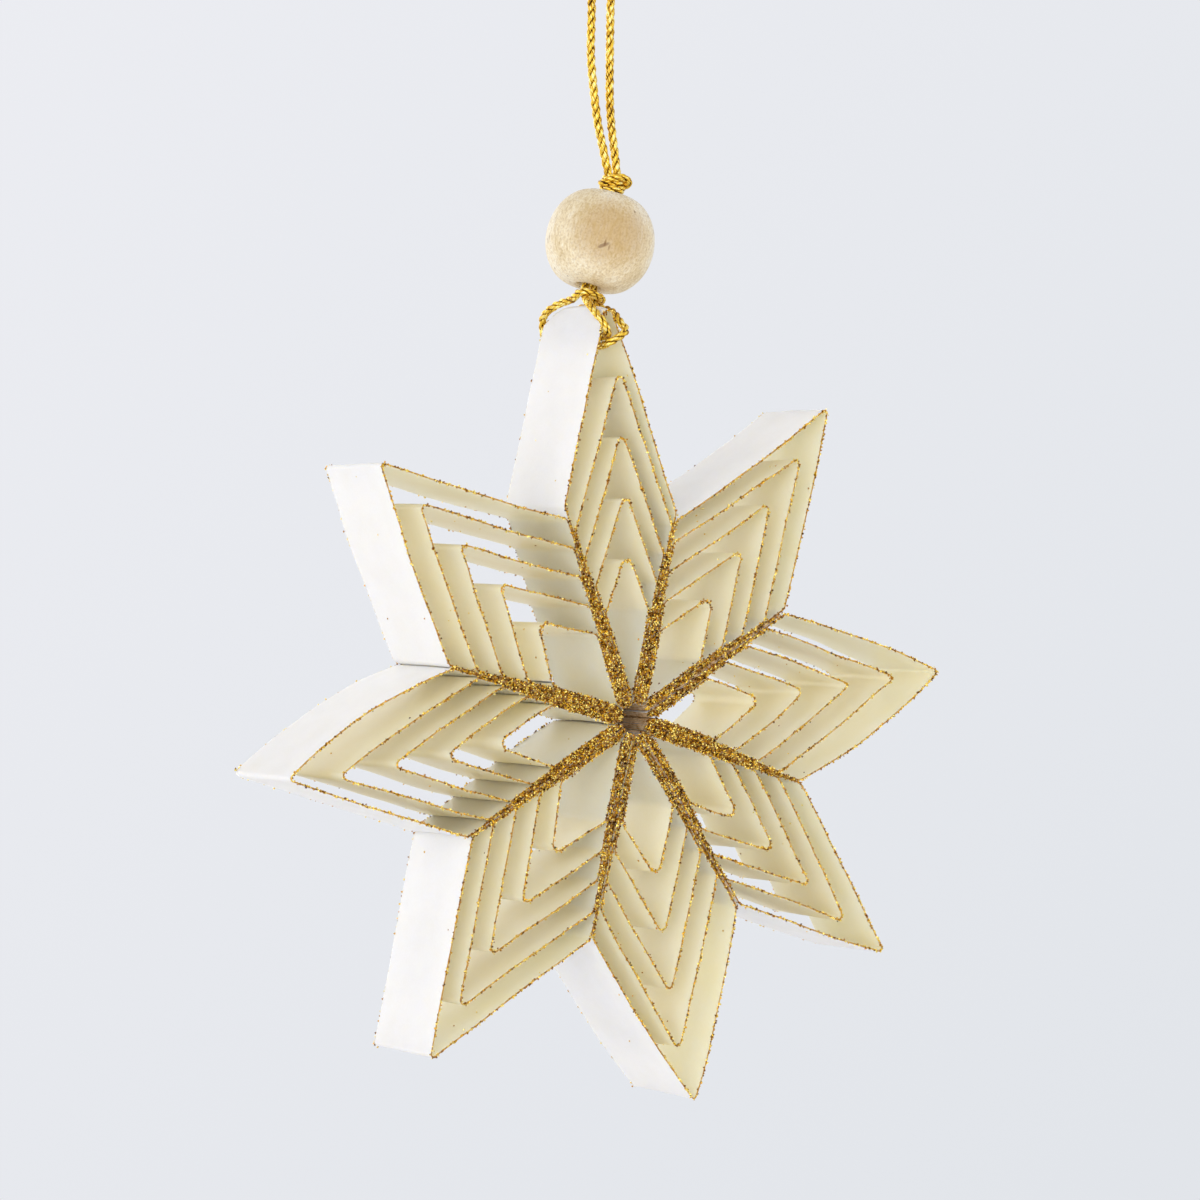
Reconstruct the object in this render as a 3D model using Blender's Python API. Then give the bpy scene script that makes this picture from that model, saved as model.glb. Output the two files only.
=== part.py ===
# Quilled paper star on a gold cord with a wooden bead.
# Metres, +Z up, front face towards -Y. The origin is where the loop hangs on its hook.
# Eight petals stand round an open hub. Each petal is five paper strips, one inside the next.
# A strip runs out from the hub along one spoke, leaves it, folds at the petal's tip and comes
# back to the next spoke, so every spoke is a laminate that loses a strip at each leaving point.

import math

import bpy
from mathutils import Matrix, Vector

MILLIMETRE = 0.001

# The paper strips
STRIP_WIDTH = 0.0140
PAPER_THICKNESS = 0.0002
GLUE_LINE = 0.00006  # between two strips of a petal, along a spoke
STRIPS_PER_PETAL = 5
TIP_STEP = 0.0082  # from one fold to the next, along the petal
SPOKE_STEP = 0.0041  # from one leaving point to the next, along the spoke
BEND_RADIUS = 0.0012  # where a strip leaves its spoke
FOLD_RADII = (0.0004, 0.0006, 0.0006, 0.0007, 0.0010)  # at the tip, outermost strip first
MIDDLE_CRUSH_RADIUS = 0.00045  # the hanging tip is sharp in the middle of its depth
FRONT_CRUSH_RADIUS = 0.0008  # and the cord has pressed it round at its edges
BACK_CRUSH_RADIUS = 0.0013
NESTED_BOW = 0.2  # of the outermost strip's bow is left in the nested ones

# The star as a whole
PETAL_REACH = 0.0544  # from the hub to a petal's outermost fold
SPOKE_LENGTH = 0.0304  # from the hub to the valley between two petals
TIP_DROP = 0.0516  # from the hook down to the hanging tip
STAR_TILT = -6.0  # degrees, positive turns the star clockwise as seen from the front
HUB_RADIUS = 0.0021
ROOT_RADIUS = 0.0030  # where a spoke's root turn is measured
END_CLEARANCE = 0.0002  # between the two ends of one strip, at the hub
PIVOT_SHIFT = -0.0039  # the sling carries the star here, left of the hook
PIVOT_DEPTH = 0.0052  # and this far below the reach of the hanging tip

# Each petal clockwise from the top: name, turn from its even place in degrees, further turn of
# its outermost fold, how much further that fold reaches, how much further the nested ones do,
# and the outward bow of its two outer walls.
PETALS = (
    ("top", 3.0, -1.2, 0.0020, -0.0018, 0.0000, 0.0001),
    ("upper_right", -0.2, -0.4, -0.0008, -0.0005, -0.0004, 0.0002),
    ("right", 0.8, 0.1, -0.0012, 0.0000, 0.0006, 0.0013),
    ("lower_right", 0.6, -0.4, 0.0006, -0.0005, 0.0003, 0.0001),
    ("bottom", -2.4, -2.0, -0.0009, 0.0005, 0.0007, 0.0006),
    ("lower_left", -1.1, -0.3, 0.0002, 0.0000, 0.0000, 0.0001),
    ("left", -1.0, 0.9, 0.0000, 0.0004, 0.0001, 0.0015),
    ("upper_left", 1.6, 0.1, -0.0015, 0.0000, 0.0004, -0.0002),
)

# Each spoke clockwise, the first between the top and the upper right petal: turn of its far
# end and of its root from its even place in degrees, the seam between its two petals, and for
# the petal before it and the petal after it, how much further out the outermost strip leaves
# it and how much further than that the nested ones do.
SPOKES = (
    (-2.0, -2.0, 0.00008, (-0.0017, 0.0023), (-0.0026, 0.0010)),
    (0.0, 1.0, 0.00040, (-0.0009, 0.0001), (-0.0013, 0.0004)),
    (3.0, 5.0, 0.00008, (-0.0007, 0.0005), (-0.0005, 0.0003)),
    (-4.5, 3.0, 0.00025, (0.0012, -0.0001), (0.0014, -0.0019)),
    (-2.0, 3.0, 0.00025, (-0.0002, 0.0004), (0.0002, 0.0003)),
    (0.0, 1.0, 0.00008, (0.0001, 0.0004), (0.0005, 0.0004)),
    (-1.5, -5.0, 0.00008, (-0.0001, 0.0000), (0.0007, -0.0004)),
    (6.5, -5.0, 0.00008, (-0.0010, 0.0000), (0.0008, 0.0003)),
)

# The bead
BEAD_DIAMETER = 0.0150
BEAD_HEIGHT = 0.0147
BEAD_FULLNESS = 2.15  # 2 is an ellipse, more has fuller shoulders
BEAD_BORE = 0.0035
BORE_ROUNDING = 0.0004
BEAD_SHIFT = -0.00045  # right of the hook
HITCH_ROOM = 0.00135  # between the reach of the hanging tip and the foot of the bead
BEAD_TILT = 17.6  # degrees, its top leans to the right

# The cord and its knot
CORD_DIAMETER = 0.0010
KNOT_RADIUS = 0.0014  # from the knot's axis to the middle of its band
KNOT_TWIST_RADIUS = 0.00062  # its two passes circle each other at this radius
KNOT_STRETCH = 1.25
KNOT_SEAT = 0.0001  # above the rim of the bore, into which its band settles

# How finely the curves are cut
CREASE_ANGLE = 40.0  # degrees, a sharper turn of the paper is shaded as a crease
STEPS_PER_BEND = 3
STEPS_PER_FOLD = 6
STEPS_PER_WALL = 3
ROWS_IN_HANGING_TIP = 9
BEAD_RINGS = 18
BEAD_SEGMENTS = 40
BORE_STEPS = 4
KNOT_POINTS = 42
HITCH_SPACING = 0.0011
LOOP_SPACING = 0.0024
STEPS_PER_CURVE = 12  # between two points of a route, before the points are spaced evenly

# The hitch, in millimetres about the hanging tip's reach: down through the bead, over the front
# of the tip, back through it, up behind, round both strands under the bead, and home the same way.
HITCH_ROUTE = (
    (1.07, 0.00, 15.56),
    (-0.32, 0.00, 11.18),
    (-1.77, 0.00, 6.60),
    (-2.75, -0.10, 3.65),
    (-3.30, -0.40, 2.15),
    (-3.50, -0.65, 1.55),
    (-3.78, -1.15, 1.02),
    (-4.18, -1.90, 0.68),
    (-4.70, -2.75, 0.53),
    (-5.14, -3.60, 0.22),
    (-5.44, -4.50, -0.18),
    (-5.62, -5.40, -0.68),
    (-5.76, -6.25, -1.25),
    (-5.82, -6.98, -1.80),
    (-5.74, -7.66, -2.28),
    (-5.42, -7.95, -2.95),
    (-5.12, -8.00, -3.65),
    (-4.65, -7.65, -4.22),
    (-4.15, -6.75, -4.48),
    (-3.92, -5.40, -4.55),
    (-3.92, 0.00, -4.55),
    (-3.92, 5.00, -4.55),
    (-4.05, 6.40, -4.50),
    (-4.40, 7.35, -4.25),
    (-4.62, 7.86, -3.75),
    (-4.56, 7.97, -3.10),
    (-4.60, 8.00, -2.38),
    (-4.80, 7.68, -1.70),
    (-4.98, 7.00, -1.22),
    (-5.06, 6.25, -0.76),
    (-4.98, 5.40, -0.38),
    (-4.76, 4.20, 0.12),
    (-4.44, 3.00, 0.47),
    (-4.34, 1.85, 0.64),
    (-4.38, 0.90, 0.85),
    (-4.55, 0.00, 1.15),
    (-4.75, -0.90, 1.48),
    (-4.45, -1.95, 1.70),
    (-3.70, -2.60, 1.45),
    (-2.80, -2.52, 1.10),
    (-1.90, -2.15, 0.82),
    (-1.25, -1.55, 0.62),
    (-0.82, -0.80, 0.52),
    (-0.72, 0.10, 0.40),
    (-0.90, 1.10, 0.20),
    (-1.30, 2.20, -0.10),
    (-1.70, 3.40, -0.50),
    (-1.90, 4.60, -1.10),
    (-1.92, 5.80, -1.75),
    (-1.80, 6.85, -2.36),
    (-1.90, 7.62, -3.06),
    (-2.30, 8.00, -3.80),
    (-2.85, 7.98, -4.55),
    (-3.45, 7.68, -5.25),
    (-3.85, 6.90, -5.68),
    (-3.92, 4.50, -5.80),
    (-3.92, 0.00, -5.80),
    (-3.98, -4.50, -5.80),
    (-4.28, -6.20, -5.75),
    (-4.55, -7.20, -5.60),
    (-4.30, -7.85, -5.32),
    (-3.60, -8.02, -4.97),
    (-2.90, -8.02, -4.57),
    (-2.06, -8.00, -4.05),
    (-1.57, -7.30, -3.38),
    (-1.80, -6.50, -2.60),
    (-1.62, -5.40, -1.75),
    (-1.48, -4.20, -1.10),
    (-1.50, -2.95, -0.75),
    (-1.65, -2.00, -0.52),
    (-1.85, -1.30, -0.22),
    (-2.00, -0.80, 0.32),
    (-2.00, -0.50, 1.00),
    (-1.88, -0.40, 1.75),
    (-1.48, -0.10, 3.27),
    (-0.59, 0.00, 6.22),
    (0.86, 0.00, 10.80),
    (2.25, 0.00, 15.18),
)

# The loop, in the same millimetres: up from the knot, over the hook and back.
LOOP_ROUTE = (
    (0.80, 0.00, 18.85),
    (0.33, 0.00, 20.80),
    (-0.71, 0.00, 25.10),
    (-1.43, 0.00, 30.30),
    (-1.75, 0.00, 34.60),
    (-1.55, 0.00, 41.10),
    (-1.85, 0.00, 46.10),
    (-2.10, 0.00, 50.00),
    (-1.48, 0.00, 51.48),
    (0.00, 0.00, 52.10),
    (1.48, 0.00, 51.48),
    (2.10, 0.00, 50.00),
    (1.85, 0.00, 46.10),
    (1.60, 0.00, 41.10),
    (1.42, 0.00, 34.10),
    (1.36, 0.00, 28.10),
    (1.65, 0.00, 24.10),
    (2.15, 0.00, 20.60),
    (2.30, 0.00, 18.85),
)


def clear_scene():
    for thing in list(bpy.data.objects):
        bpy.data.objects.remove(thing, do_unlink=True)


def make_material(name, colour, roughness, metallic=0.0):
    material = bpy.data.materials.new(name)
    material.use_nodes = True
    shader = material.node_tree.nodes["Principled BSDF"]
    shader.inputs["Base Color"].default_value = (*colour, 1.0)
    shader.inputs["Roughness"].default_value = roughness
    shader.inputs["Metallic"].default_value = metallic
    return material


def add_object(name, data, material, parent=None, origin=None):
    thing = bpy.data.objects.new(name, data)
    bpy.context.collection.objects.link(thing)
    data.materials.append(material)
    if parent is not None:
        thing.parent = parent
    if origin is not None:
        thing.location = origin
    return thing


def add_pivot(name, location):
    pivot = bpy.data.objects.new(name, None)
    pivot.location = location
    bpy.context.collection.objects.link(pivot)
    return pivot


def on_circle(radius, degrees):
    """A point (x, z) of the star's plane, its angle clockwise from straight up."""
    angle = math.radians(degrees)
    return Vector((radius * math.sin(angle), radius * math.cos(angle)))


def even_angle(index, between=0.0):
    return STAR_TILT + 360.0 / len(PETALS) * (index + between)


class Spoke:
    """One glued spoke: a straight line from near the hub to the valley between two petals."""

    def __init__(self, index):
        spoke = SPOKES[index % len(SPOKES)]
        far_turn, root_turn, self.seam, self.petal_before, self.petal_after = spoke
        even = even_angle(index % len(SPOKES), between=0.5)
        self.root = on_circle(ROOT_RADIUS, even + root_turn)
        self.along = (on_circle(SPOKE_LENGTH, even + far_turn) - self.root).normalized()
        self.clockwise = Vector((self.along.y, -self.along.x))

    def point(self, distance, aside):
        return self.root + self.along * (distance - ROOT_RADIUS) + self.clockwise * aside


def leaving_distance(petal_side, layer):
    """How far from the hub a strip leaves its spoke, on that petal's side of the spoke."""
    further, nested = petal_side
    return SPOKE_LENGTH + further - layer * SPOKE_STEP + (nested if layer else 0.0)


def layer_offset(spoke, layer):
    """From the middle of a spoke to the middle of one of its strips, outermost layer 0."""
    return spoke.seam / 2 + PAPER_THICKNESS / 2 + layer * (PAPER_THICKNESS + GLUE_LINE)


def start_distances(before, after, layer):
    """How near the hub the two ends of a strip may start without meeting each other."""
    inner_face = PAPER_THICKNESS / 2 + END_CLEARANCE / 2
    left = before.point(0.0, layer_offset(before, layer) + inner_face)
    right = after.point(0.0, -layer_offset(after, layer) - inner_face)
    gap = right - left
    turn = before.along.cross(after.along)
    on_left = gap.cross(after.along) / turn
    on_right = gap.cross(before.along) / turn
    return max(HUB_RADIUS, on_left), max(HUB_RADIUS, on_right)


def bowed(start, end, bow):
    """Points between two corners, pushed out of the petal by up to the bow."""
    run = end - start
    outward = Vector((-run.y, run.x)).normalized()
    points = []
    for step in range(1, STEPS_PER_WALL + 1):
        share = step / (STEPS_PER_WALL + 1)
        points.append(start + run * share + outward * (4 * bow * share * (1 - share)))
    return points


def corner_cut(before, corner, after, radius):
    """How far from its corner an arc of that radius starts and ends."""
    turn = (corner - before).angle(after - corner)
    return radius * math.tan(turn / 2)


def rounded_corner(before, corner, after, radius, steps):
    """The corner as an arc that runs on smoothly from both of its sides."""
    arriving = (corner - before).normalized()
    leaving = (after - corner).normalized()
    turn = arriving.angle(leaving)
    cut = corner_cut(before, corner, after, radius)
    side = -1.0 if arriving.cross(leaving) < 0 else 1.0
    centre = corner - arriving * cut + Vector((-arriving.y, arriving.x)) * side * radius
    spoke = corner - arriving * cut - centre
    points = []
    for step in range(steps + 1):
        swing = Matrix.Rotation(side * turn * step / steps, 2)
        points.append(centre + swing @ spoke)
    return points


def fold_corner(before, tip, after, radius):
    """The sharp corner whose rounded fold reaches as far as the tip."""
    half = (before - tip).angle(after - tip) / 2
    return tip + tip.normalized() * (radius / math.sin(half) - radius)


def beyond(points, corner, cut):
    """The points that lie clear of the arc cut into that corner."""
    return [point for point in points if (point - corner).length > cut * 1.05]


def strip_path(petal, layer, fold, widest_fold):
    """The middle line of a strip as (x, z) points about the hub, clockwise."""
    turn, outer_turn, further, nested, bow_before, bow_after = PETALS[petal][1:]
    before = Spoke(petal - 1)
    after = Spoke(petal)
    left_aside = layer_offset(before, layer)
    right_aside = -layer_offset(after, layer)
    left_start, right_start = start_distances(before, after, layer)
    left_corner = before.point(leaving_distance(before.petal_after, layer), left_aside)
    right_corner = after.point(leaving_distance(after.petal_before, layer), right_aside)
    direction = even_angle(petal) + turn + (0.0 if layer else outer_turn)
    reach = PETAL_REACH + further - layer * TIP_STEP + (nested if layer else 0.0)
    tip = fold_corner(left_corner, on_circle(reach, direction), right_corner, FOLD_RADII[layer])
    bow_share = NESTED_BOW if layer else 1.0
    left_wall = bowed(left_corner, tip, bow_before * bow_share)
    right_wall = bowed(tip, right_corner, bow_after * bow_share)
    left_end = before.point(left_start, left_aside)
    right_end = after.point(right_start, right_aside)
    cut = corner_cut(left_wall[-1], tip, right_wall[0], widest_fold)
    path = [left_end]
    path += rounded_corner(left_end, left_corner, left_wall[0], BEND_RADIUS, STEPS_PER_BEND)
    path += beyond(left_wall, tip, cut)
    path += rounded_corner(left_wall[-1], tip, right_wall[0], fold, STEPS_PER_FOLD)
    path += beyond(right_wall, tip, cut)
    path += rounded_corner(right_wall[-1], right_corner, right_end, BEND_RADIUS, STEPS_PER_BEND)
    path.append(right_end)
    return path


def sheet_mesh(name, rows, hub):
    """A sheet through rows of (x, z) points, front row first, each with its own depth."""
    vertices = []
    for depth, path in rows:
        for point in path:
            vertices.append(Vector((point.x, depth, point.y)) + hub)
    count = len(rows[0][1])
    faces = []
    for row in range(len(rows) - 1):
        for step in range(count - 1):
            corner = row * count + step
            faces.append((corner, corner + count, corner + count + 1, corner + 1))
    mesh = bpy.data.meshes.new(name)
    mesh.from_pydata(vertices, [], faces)
    mesh.update()
    return mesh


def add_strip(petal, layer, material, pivot, hub):
    name = f"{PETALS[petal][0]}_petal_strip_{layer + 1}"
    half = STRIP_WIDTH / 2
    rows = []
    if petal == 0 and layer == 0:
        # The cord has pressed this fold: sharp in the middle of its depth, rounder at both edges.
        for row in range(ROWS_IN_HANGING_TIP):
            share = 2 * row / (ROWS_IN_HANGING_TIP - 1) - 1
            edge = FRONT_CRUSH_RADIUS if share < 0 else BACK_CRUSH_RADIUS
            fold = MIDDLE_CRUSH_RADIUS + (edge - MIDDLE_CRUSH_RADIUS) * abs(share) ** 3
            rows.append((share * half, strip_path(petal, layer, fold, BACK_CRUSH_RADIUS)))
    else:
        path = strip_path(petal, layer, FOLD_RADII[layer], FOLD_RADII[layer])
        rows = [(-half, path), (half, path)]
    mesh = sheet_mesh(name, rows, hub)
    strip = add_object(name, mesh, material, parent=pivot)
    paper = strip.modifiers.new("Paper", "SOLIDIFY")
    paper.thickness = PAPER_THICKNESS
    paper.offset = 0.0
    paper.use_even_offset = True
    paper.use_quality_normals = True
    mesh.shade_smooth()
    mesh.set_sharp_from_angle(angle=math.radians(CREASE_ANGLE))
    return strip


def smooth_route(route, spacing, closed=False):
    """Points at an even spacing on a smooth curve through the route's points."""
    points = [Vector(point) for point in route]
    if closed:
        points = [points[-1]] + points + points[:2]
    else:
        points = [2 * points[0] - points[1]] + points + [2 * points[-1] - points[-2]]
    dense = []
    for first, start, end, last in zip(points, points[1:], points[2:], points[3:]):
        for step in range(STEPS_PER_CURVE):
            share = step / STEPS_PER_CURVE
            curve = 2 * start + (end - first) * share
            curve += (2 * first - 5 * start + 4 * end - last) * share**2
            curve += (3 * start - first - 3 * end + last) * share**3
            dense.append(curve / 2)
    dense.append(points[-2])
    lengths = [0.0]
    for start, end in zip(dense, dense[1:]):
        lengths.append(lengths[-1] + (end - start).length)
    count = max(2, round(lengths[-1] / spacing))
    even = []
    index = 0
    for step in range(count + 1):
        wanted = lengths[-1] * step / count
        while index < len(dense) - 2 and lengths[index + 1] < wanted:
            index += 1
        share = (wanted - lengths[index]) / (lengths[index + 1] - lengths[index])
        even.append(dense[index].lerp(dense[index + 1], share))
    return even


def cord_curve(name, points, closed=False):
    curve = bpy.data.curves.new(name, "CURVE")
    curve.dimensions = "3D"
    curve.bevel_depth = CORD_DIAMETER / 2
    curve.bevel_resolution = 2
    curve.use_fill_caps = not closed
    spline = curve.splines.new("POLY")
    spline.points.add(len(points) - 1)
    for point, place in zip(spline.points, points):
        point.co = (*place, 1.0)
    spline.use_cyclic_u = closed
    spline.use_smooth = True
    return curve


def route_in_metres(route):
    return [Vector(point) * MILLIMETRE - Vector((0.0, 0.0, TIP_DROP)) for point in route]


def add_cord(name, route, spacing, material):
    points = smooth_route(route_in_metres(route), spacing)
    length = sum((end - start).length for start, end in zip(points, points[1:]))
    print(f"{name}: {length * 1000:.1f} mm of cord, {len(points)} points")
    return add_object(name, cord_curve(name, points), material)


def bead_rim():
    """Radius and height of the edge where the bead's round side meets the rounding of its bore."""
    mouth = BEAD_BORE / 2 + BORE_ROUNDING
    share = (mouth / (BEAD_DIAMETER / 2)) ** BEAD_FULLNESS
    return mouth, BEAD_HEIGHT / 2 * (1 - share) ** (1 / BEAD_FULLNESS)


def bead_profile():
    """Half the bead's section as (radius, height) points, down its outer side from the bore."""
    bore = BEAD_BORE / 2
    radius = BEAD_DIAMETER / 2
    height = BEAD_HEIGHT / 2
    mouth, rim = bead_rim()
    first = math.asin((mouth / radius) ** (BEAD_FULLNESS / 2))
    outer = []
    for ring in range(BEAD_RINGS + 1):
        angle = first + (math.pi - 2 * first) * ring / BEAD_RINGS
        across = abs(math.sin(angle)) ** (2 / BEAD_FULLNESS)
        up = abs(math.cos(angle)) ** (2 / BEAD_FULLNESS) * math.copysign(1.0, math.cos(angle))
        outer.append((radius * across, height * up))
    rounding = []
    for step in range(1, BORE_STEPS):
        angle = math.radians(90 * step / BORE_STEPS)
        sunk = BORE_ROUNDING * (1 - math.cos(angle))
        rounding.append((mouth - BORE_ROUNDING * math.sin(angle), rim - sunk))
    wall = rim - BORE_ROUNDING
    lower = [(across, -up) for across, up in reversed(rounding)]
    return outer + lower[::-1] + [(bore, -wall), (bore, wall)] + rounding[::-1]


def bead_centre():
    """The bead stands on the hitch, over the hanging tip."""
    return Vector((BEAD_SHIFT, 0.0, HITCH_ROOM + BEAD_HEIGHT / 2 - TIP_DROP))


def add_bead(material):
    profile = bead_profile()
    vertices = [(across, 0.0, up) for across, up in profile]
    edges = [(index, (index + 1) % len(profile)) for index in range(len(profile))]
    mesh = bpy.data.meshes.new("wooden_bead")
    mesh.from_pydata(vertices, edges, [])
    bead = add_object("wooden_bead", mesh, material, origin=bead_centre())
    bead.rotation_euler = (0.0, math.radians(BEAD_TILT), 0.0)
    turned = bead.modifiers.new("Turned", "SCREW")
    turned.axis = "Z"
    turned.angle = math.tau
    turned.steps = BEAD_SEGMENTS
    turned.render_steps = BEAD_SEGMENTS
    turned.use_merge_vertices = True
    turned.merge_threshold = 0.00001
    turned.use_smooth_shade = True
    return bead


def add_knot(material):
    """The two strands tied together: a band that circles the cord twice and itself three times."""
    half_height = KNOT_TWIST_RADIUS * KNOT_STRETCH + CORD_DIAMETER / 2
    lift = bead_rim()[1] + KNOT_SEAT + half_height
    tilt = Matrix.Rotation(math.radians(BEAD_TILT), 3, "Y")
    points = []
    for step in range(KNOT_POINTS):
        angle = math.tau * step / KNOT_POINTS
        band = KNOT_RADIUS + KNOT_TWIST_RADIUS * math.cos(3 * angle)
        up = KNOT_STRETCH * KNOT_TWIST_RADIUS * math.sin(3 * angle)
        on_band = Vector((band * math.cos(2 * angle), band * math.sin(2 * angle), up + lift))
        points.append(bead_centre() + tilt @ on_band)
    return add_object("hanging_knot", cord_curve("hanging_knot", points, closed=True), material)


def main():
    clear_scene()
    white_paper = make_material("white_paper", (0.93, 0.92, 0.88), 0.75)
    cream_paper = make_material("cream_paper", (0.86, 0.80, 0.58), 0.75)
    bead_wood = make_material("bead_wood", (0.71, 0.53, 0.31), 0.55)
    gold_cord = make_material("gold_cord", (0.75, 0.48, 0.06), 0.35, metallic=0.8)

    hub = Vector((0.0, 0.0, -TIP_DROP - PETAL_REACH - PETALS[0][3]))
    pivot_place = Vector((PIVOT_SHIFT, 0.0, -TIP_DROP - PIVOT_DEPTH))
    pivot = add_pivot("star_pivot", pivot_place)
    for petal in range(len(PETALS)):
        for layer in range(STRIPS_PER_PETAL):
            paper = white_paper if layer == 0 else cream_paper
            add_strip(petal, layer, paper, pivot, hub - pivot_place)

    add_bead(bead_wood)
    add_knot(gold_cord)
    add_cord("hitch_cord", HITCH_ROUTE, HITCH_SPACING, gold_cord)
    add_cord("hanging_loop", LOOP_ROUTE, LOOP_SPACING, gold_cord)


main()
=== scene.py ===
# Quilled paper star, slung by its top petal from a wooden bead on a gold cord.
# Metres, +Z up, front towards -Y. The origin is where the loop hangs on its hook.
import math
import random

import bpy
from mathutils import Matrix, Vector


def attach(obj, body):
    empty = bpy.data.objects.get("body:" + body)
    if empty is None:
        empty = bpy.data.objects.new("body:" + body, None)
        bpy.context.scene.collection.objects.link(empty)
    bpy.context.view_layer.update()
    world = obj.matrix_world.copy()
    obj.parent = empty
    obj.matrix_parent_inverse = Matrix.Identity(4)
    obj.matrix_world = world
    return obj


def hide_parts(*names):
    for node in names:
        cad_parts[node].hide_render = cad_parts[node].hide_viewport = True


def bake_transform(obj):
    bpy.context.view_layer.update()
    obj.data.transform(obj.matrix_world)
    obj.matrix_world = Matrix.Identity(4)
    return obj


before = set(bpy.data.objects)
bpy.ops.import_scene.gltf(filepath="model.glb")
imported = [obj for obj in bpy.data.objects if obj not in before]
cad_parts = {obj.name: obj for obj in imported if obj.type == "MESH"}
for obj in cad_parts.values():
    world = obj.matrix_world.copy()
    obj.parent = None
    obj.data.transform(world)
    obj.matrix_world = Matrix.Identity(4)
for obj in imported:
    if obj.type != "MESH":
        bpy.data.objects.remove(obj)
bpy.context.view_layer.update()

millimetre = 0.001


# Nodes, colours and trees

def socketOf(sockets, key):
    shown = [socket for socket in sockets if socket.enabled]
    if isinstance(key, int):
        return shown[key]
    return next(socket for socket in shown if socket.name == key)


def addNode(tree, kind, settings=None, links=None):
    # a link is another node, its first output then, or one of its sockets, or a plain value
    node = tree.nodes.new(kind)
    for name, value in (settings or {}).items():
        setattr(node, name, value)
    for name, value in (links or {}).items():
        socket = socketOf(node.inputs, name)
        if isinstance(value, bpy.types.Node):
            value = socketOf(value.outputs, 0)
        if isinstance(value, bpy.types.NodeSocket):
            tree.links.new(value, socket)
        else:
            socket.default_value = value
    return node


def colour(hexCode):
    # sRGB hex to the linear colour that a shader takes
    parts = [int(hexCode[start:start + 2], 16) / 255 for start in (1, 3, 5)]
    linear = [part / 12.92 if part <= 0.04045 else ((part + 0.055) / 1.055) ** 2.4 for part in parts]
    return (*linear, 1.0)


def startMaterial(name, settings):
    material = bpy.data.materials.new(name)
    material.use_nodes = True
    shader = material.node_tree.nodes["Principled BSDF"]
    for label, value in settings.items():
        shader.inputs[label].default_value = value
    return material, material.node_tree, shader


def fillRamp(ramp, stops):
    # stops are (place, hex colour) pairs
    elements = ramp.color_ramp.elements
    while len(elements) < len(stops):
        elements.new(0.5)
    for element, (place, hexCode) in zip(elements, stops):
        element.position = place
        element.color = colour(hexCode)


def makeMottled(name, settings, patch, stops, attribute=None):
    # one colour in soft patches of a real size, which an attribute may push along its ramp
    material, tree, shader = startMaterial(name, settings)
    place = addNode(tree, "ShaderNodeTexCoord").outputs["Object"]
    tone = addNode(tree, "ShaderNodeTexNoise", links={"Vector": place, "Scale": 1 / patch, "Detail": 2.0})
    if attribute:
        push = addNode(tree, "ShaderNodeAttribute", {"attribute_name": attribute}).outputs["Fac"]
        tone = addNode(tree, "ShaderNodeMath", {"operation": "MULTIPLY_ADD"}, {0: push, 1: 0.5, 2: tone})
    ramp = addNode(tree, "ShaderNodeValToRGB", links={"Fac": tone})
    fillRamp(ramp, stops)
    tree.links.new(ramp.outputs["Color"], shader.inputs["Base Color"])
    return material


def startTree(name, inputs):
    # a geometry tree with its named inputs, and the identifier of each
    tree = bpy.data.node_groups.new(name, "GeometryNodeTree")
    tree.is_modifier = True
    tree.interface.new_socket("Geometry", in_out="INPUT", socket_type="NodeSocketGeometry")
    tree.interface.new_socket("Geometry", in_out="OUTPUT", socket_type="NodeSocketGeometry")
    handles = {}
    for label, kind in inputs.items():
        socket = tree.interface.new_socket(label, in_out="INPUT", socket_type="NodeSocket" + kind)
        handles[label] = socket.identifier
    return tree, handles, tree.nodes.new("NodeGroupInput").outputs


def endTree(tree, geometry, finishes):
    # realised, then painted: each finish is a material socket and the faces that take it
    last = addNode(tree, "GeometryNodeRealizeInstances", links={"Geometry": geometry})
    for material, faces in finishes:
        links = {"Geometry": last, "Material": material}
        if faces is not None:
            links["Selection"] = faces
        last = addNode(tree, "GeometryNodeSetMaterial", links=links)
    addNode(tree, "NodeGroupOutput", links={"Geometry": last})


def growMesh(name, source, tree, handles, values):
    # runs a tree on a mesh and keeps what it makes as a plain mesh
    carrier = bpy.data.objects.new(name + "_start", source)
    bpy.context.collection.objects.link(carrier)
    modifier = carrier.modifiers.new("Grow", "NODES")
    modifier.node_group = tree
    for label, value in values.items():
        modifier[handles[label]] = value
    graph = bpy.context.evaluated_depsgraph_get()
    mesh = bpy.data.meshes.new_from_object(carrier.evaluated_get(graph))
    mesh.name = name
    bpy.data.objects.remove(carrier)
    return mesh


def addPiece(name, mesh, body, slot=None, *nodes):
    # the slot is not used; glue and glitter pass none
    piece = bpy.data.objects.new(name, mesh)
    bpy.context.collection.objects.link(piece)
    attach(piece, body)
    if nodes:
        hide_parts(*nodes)
    return piece


# Camera, floor, lamps and sky

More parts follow.
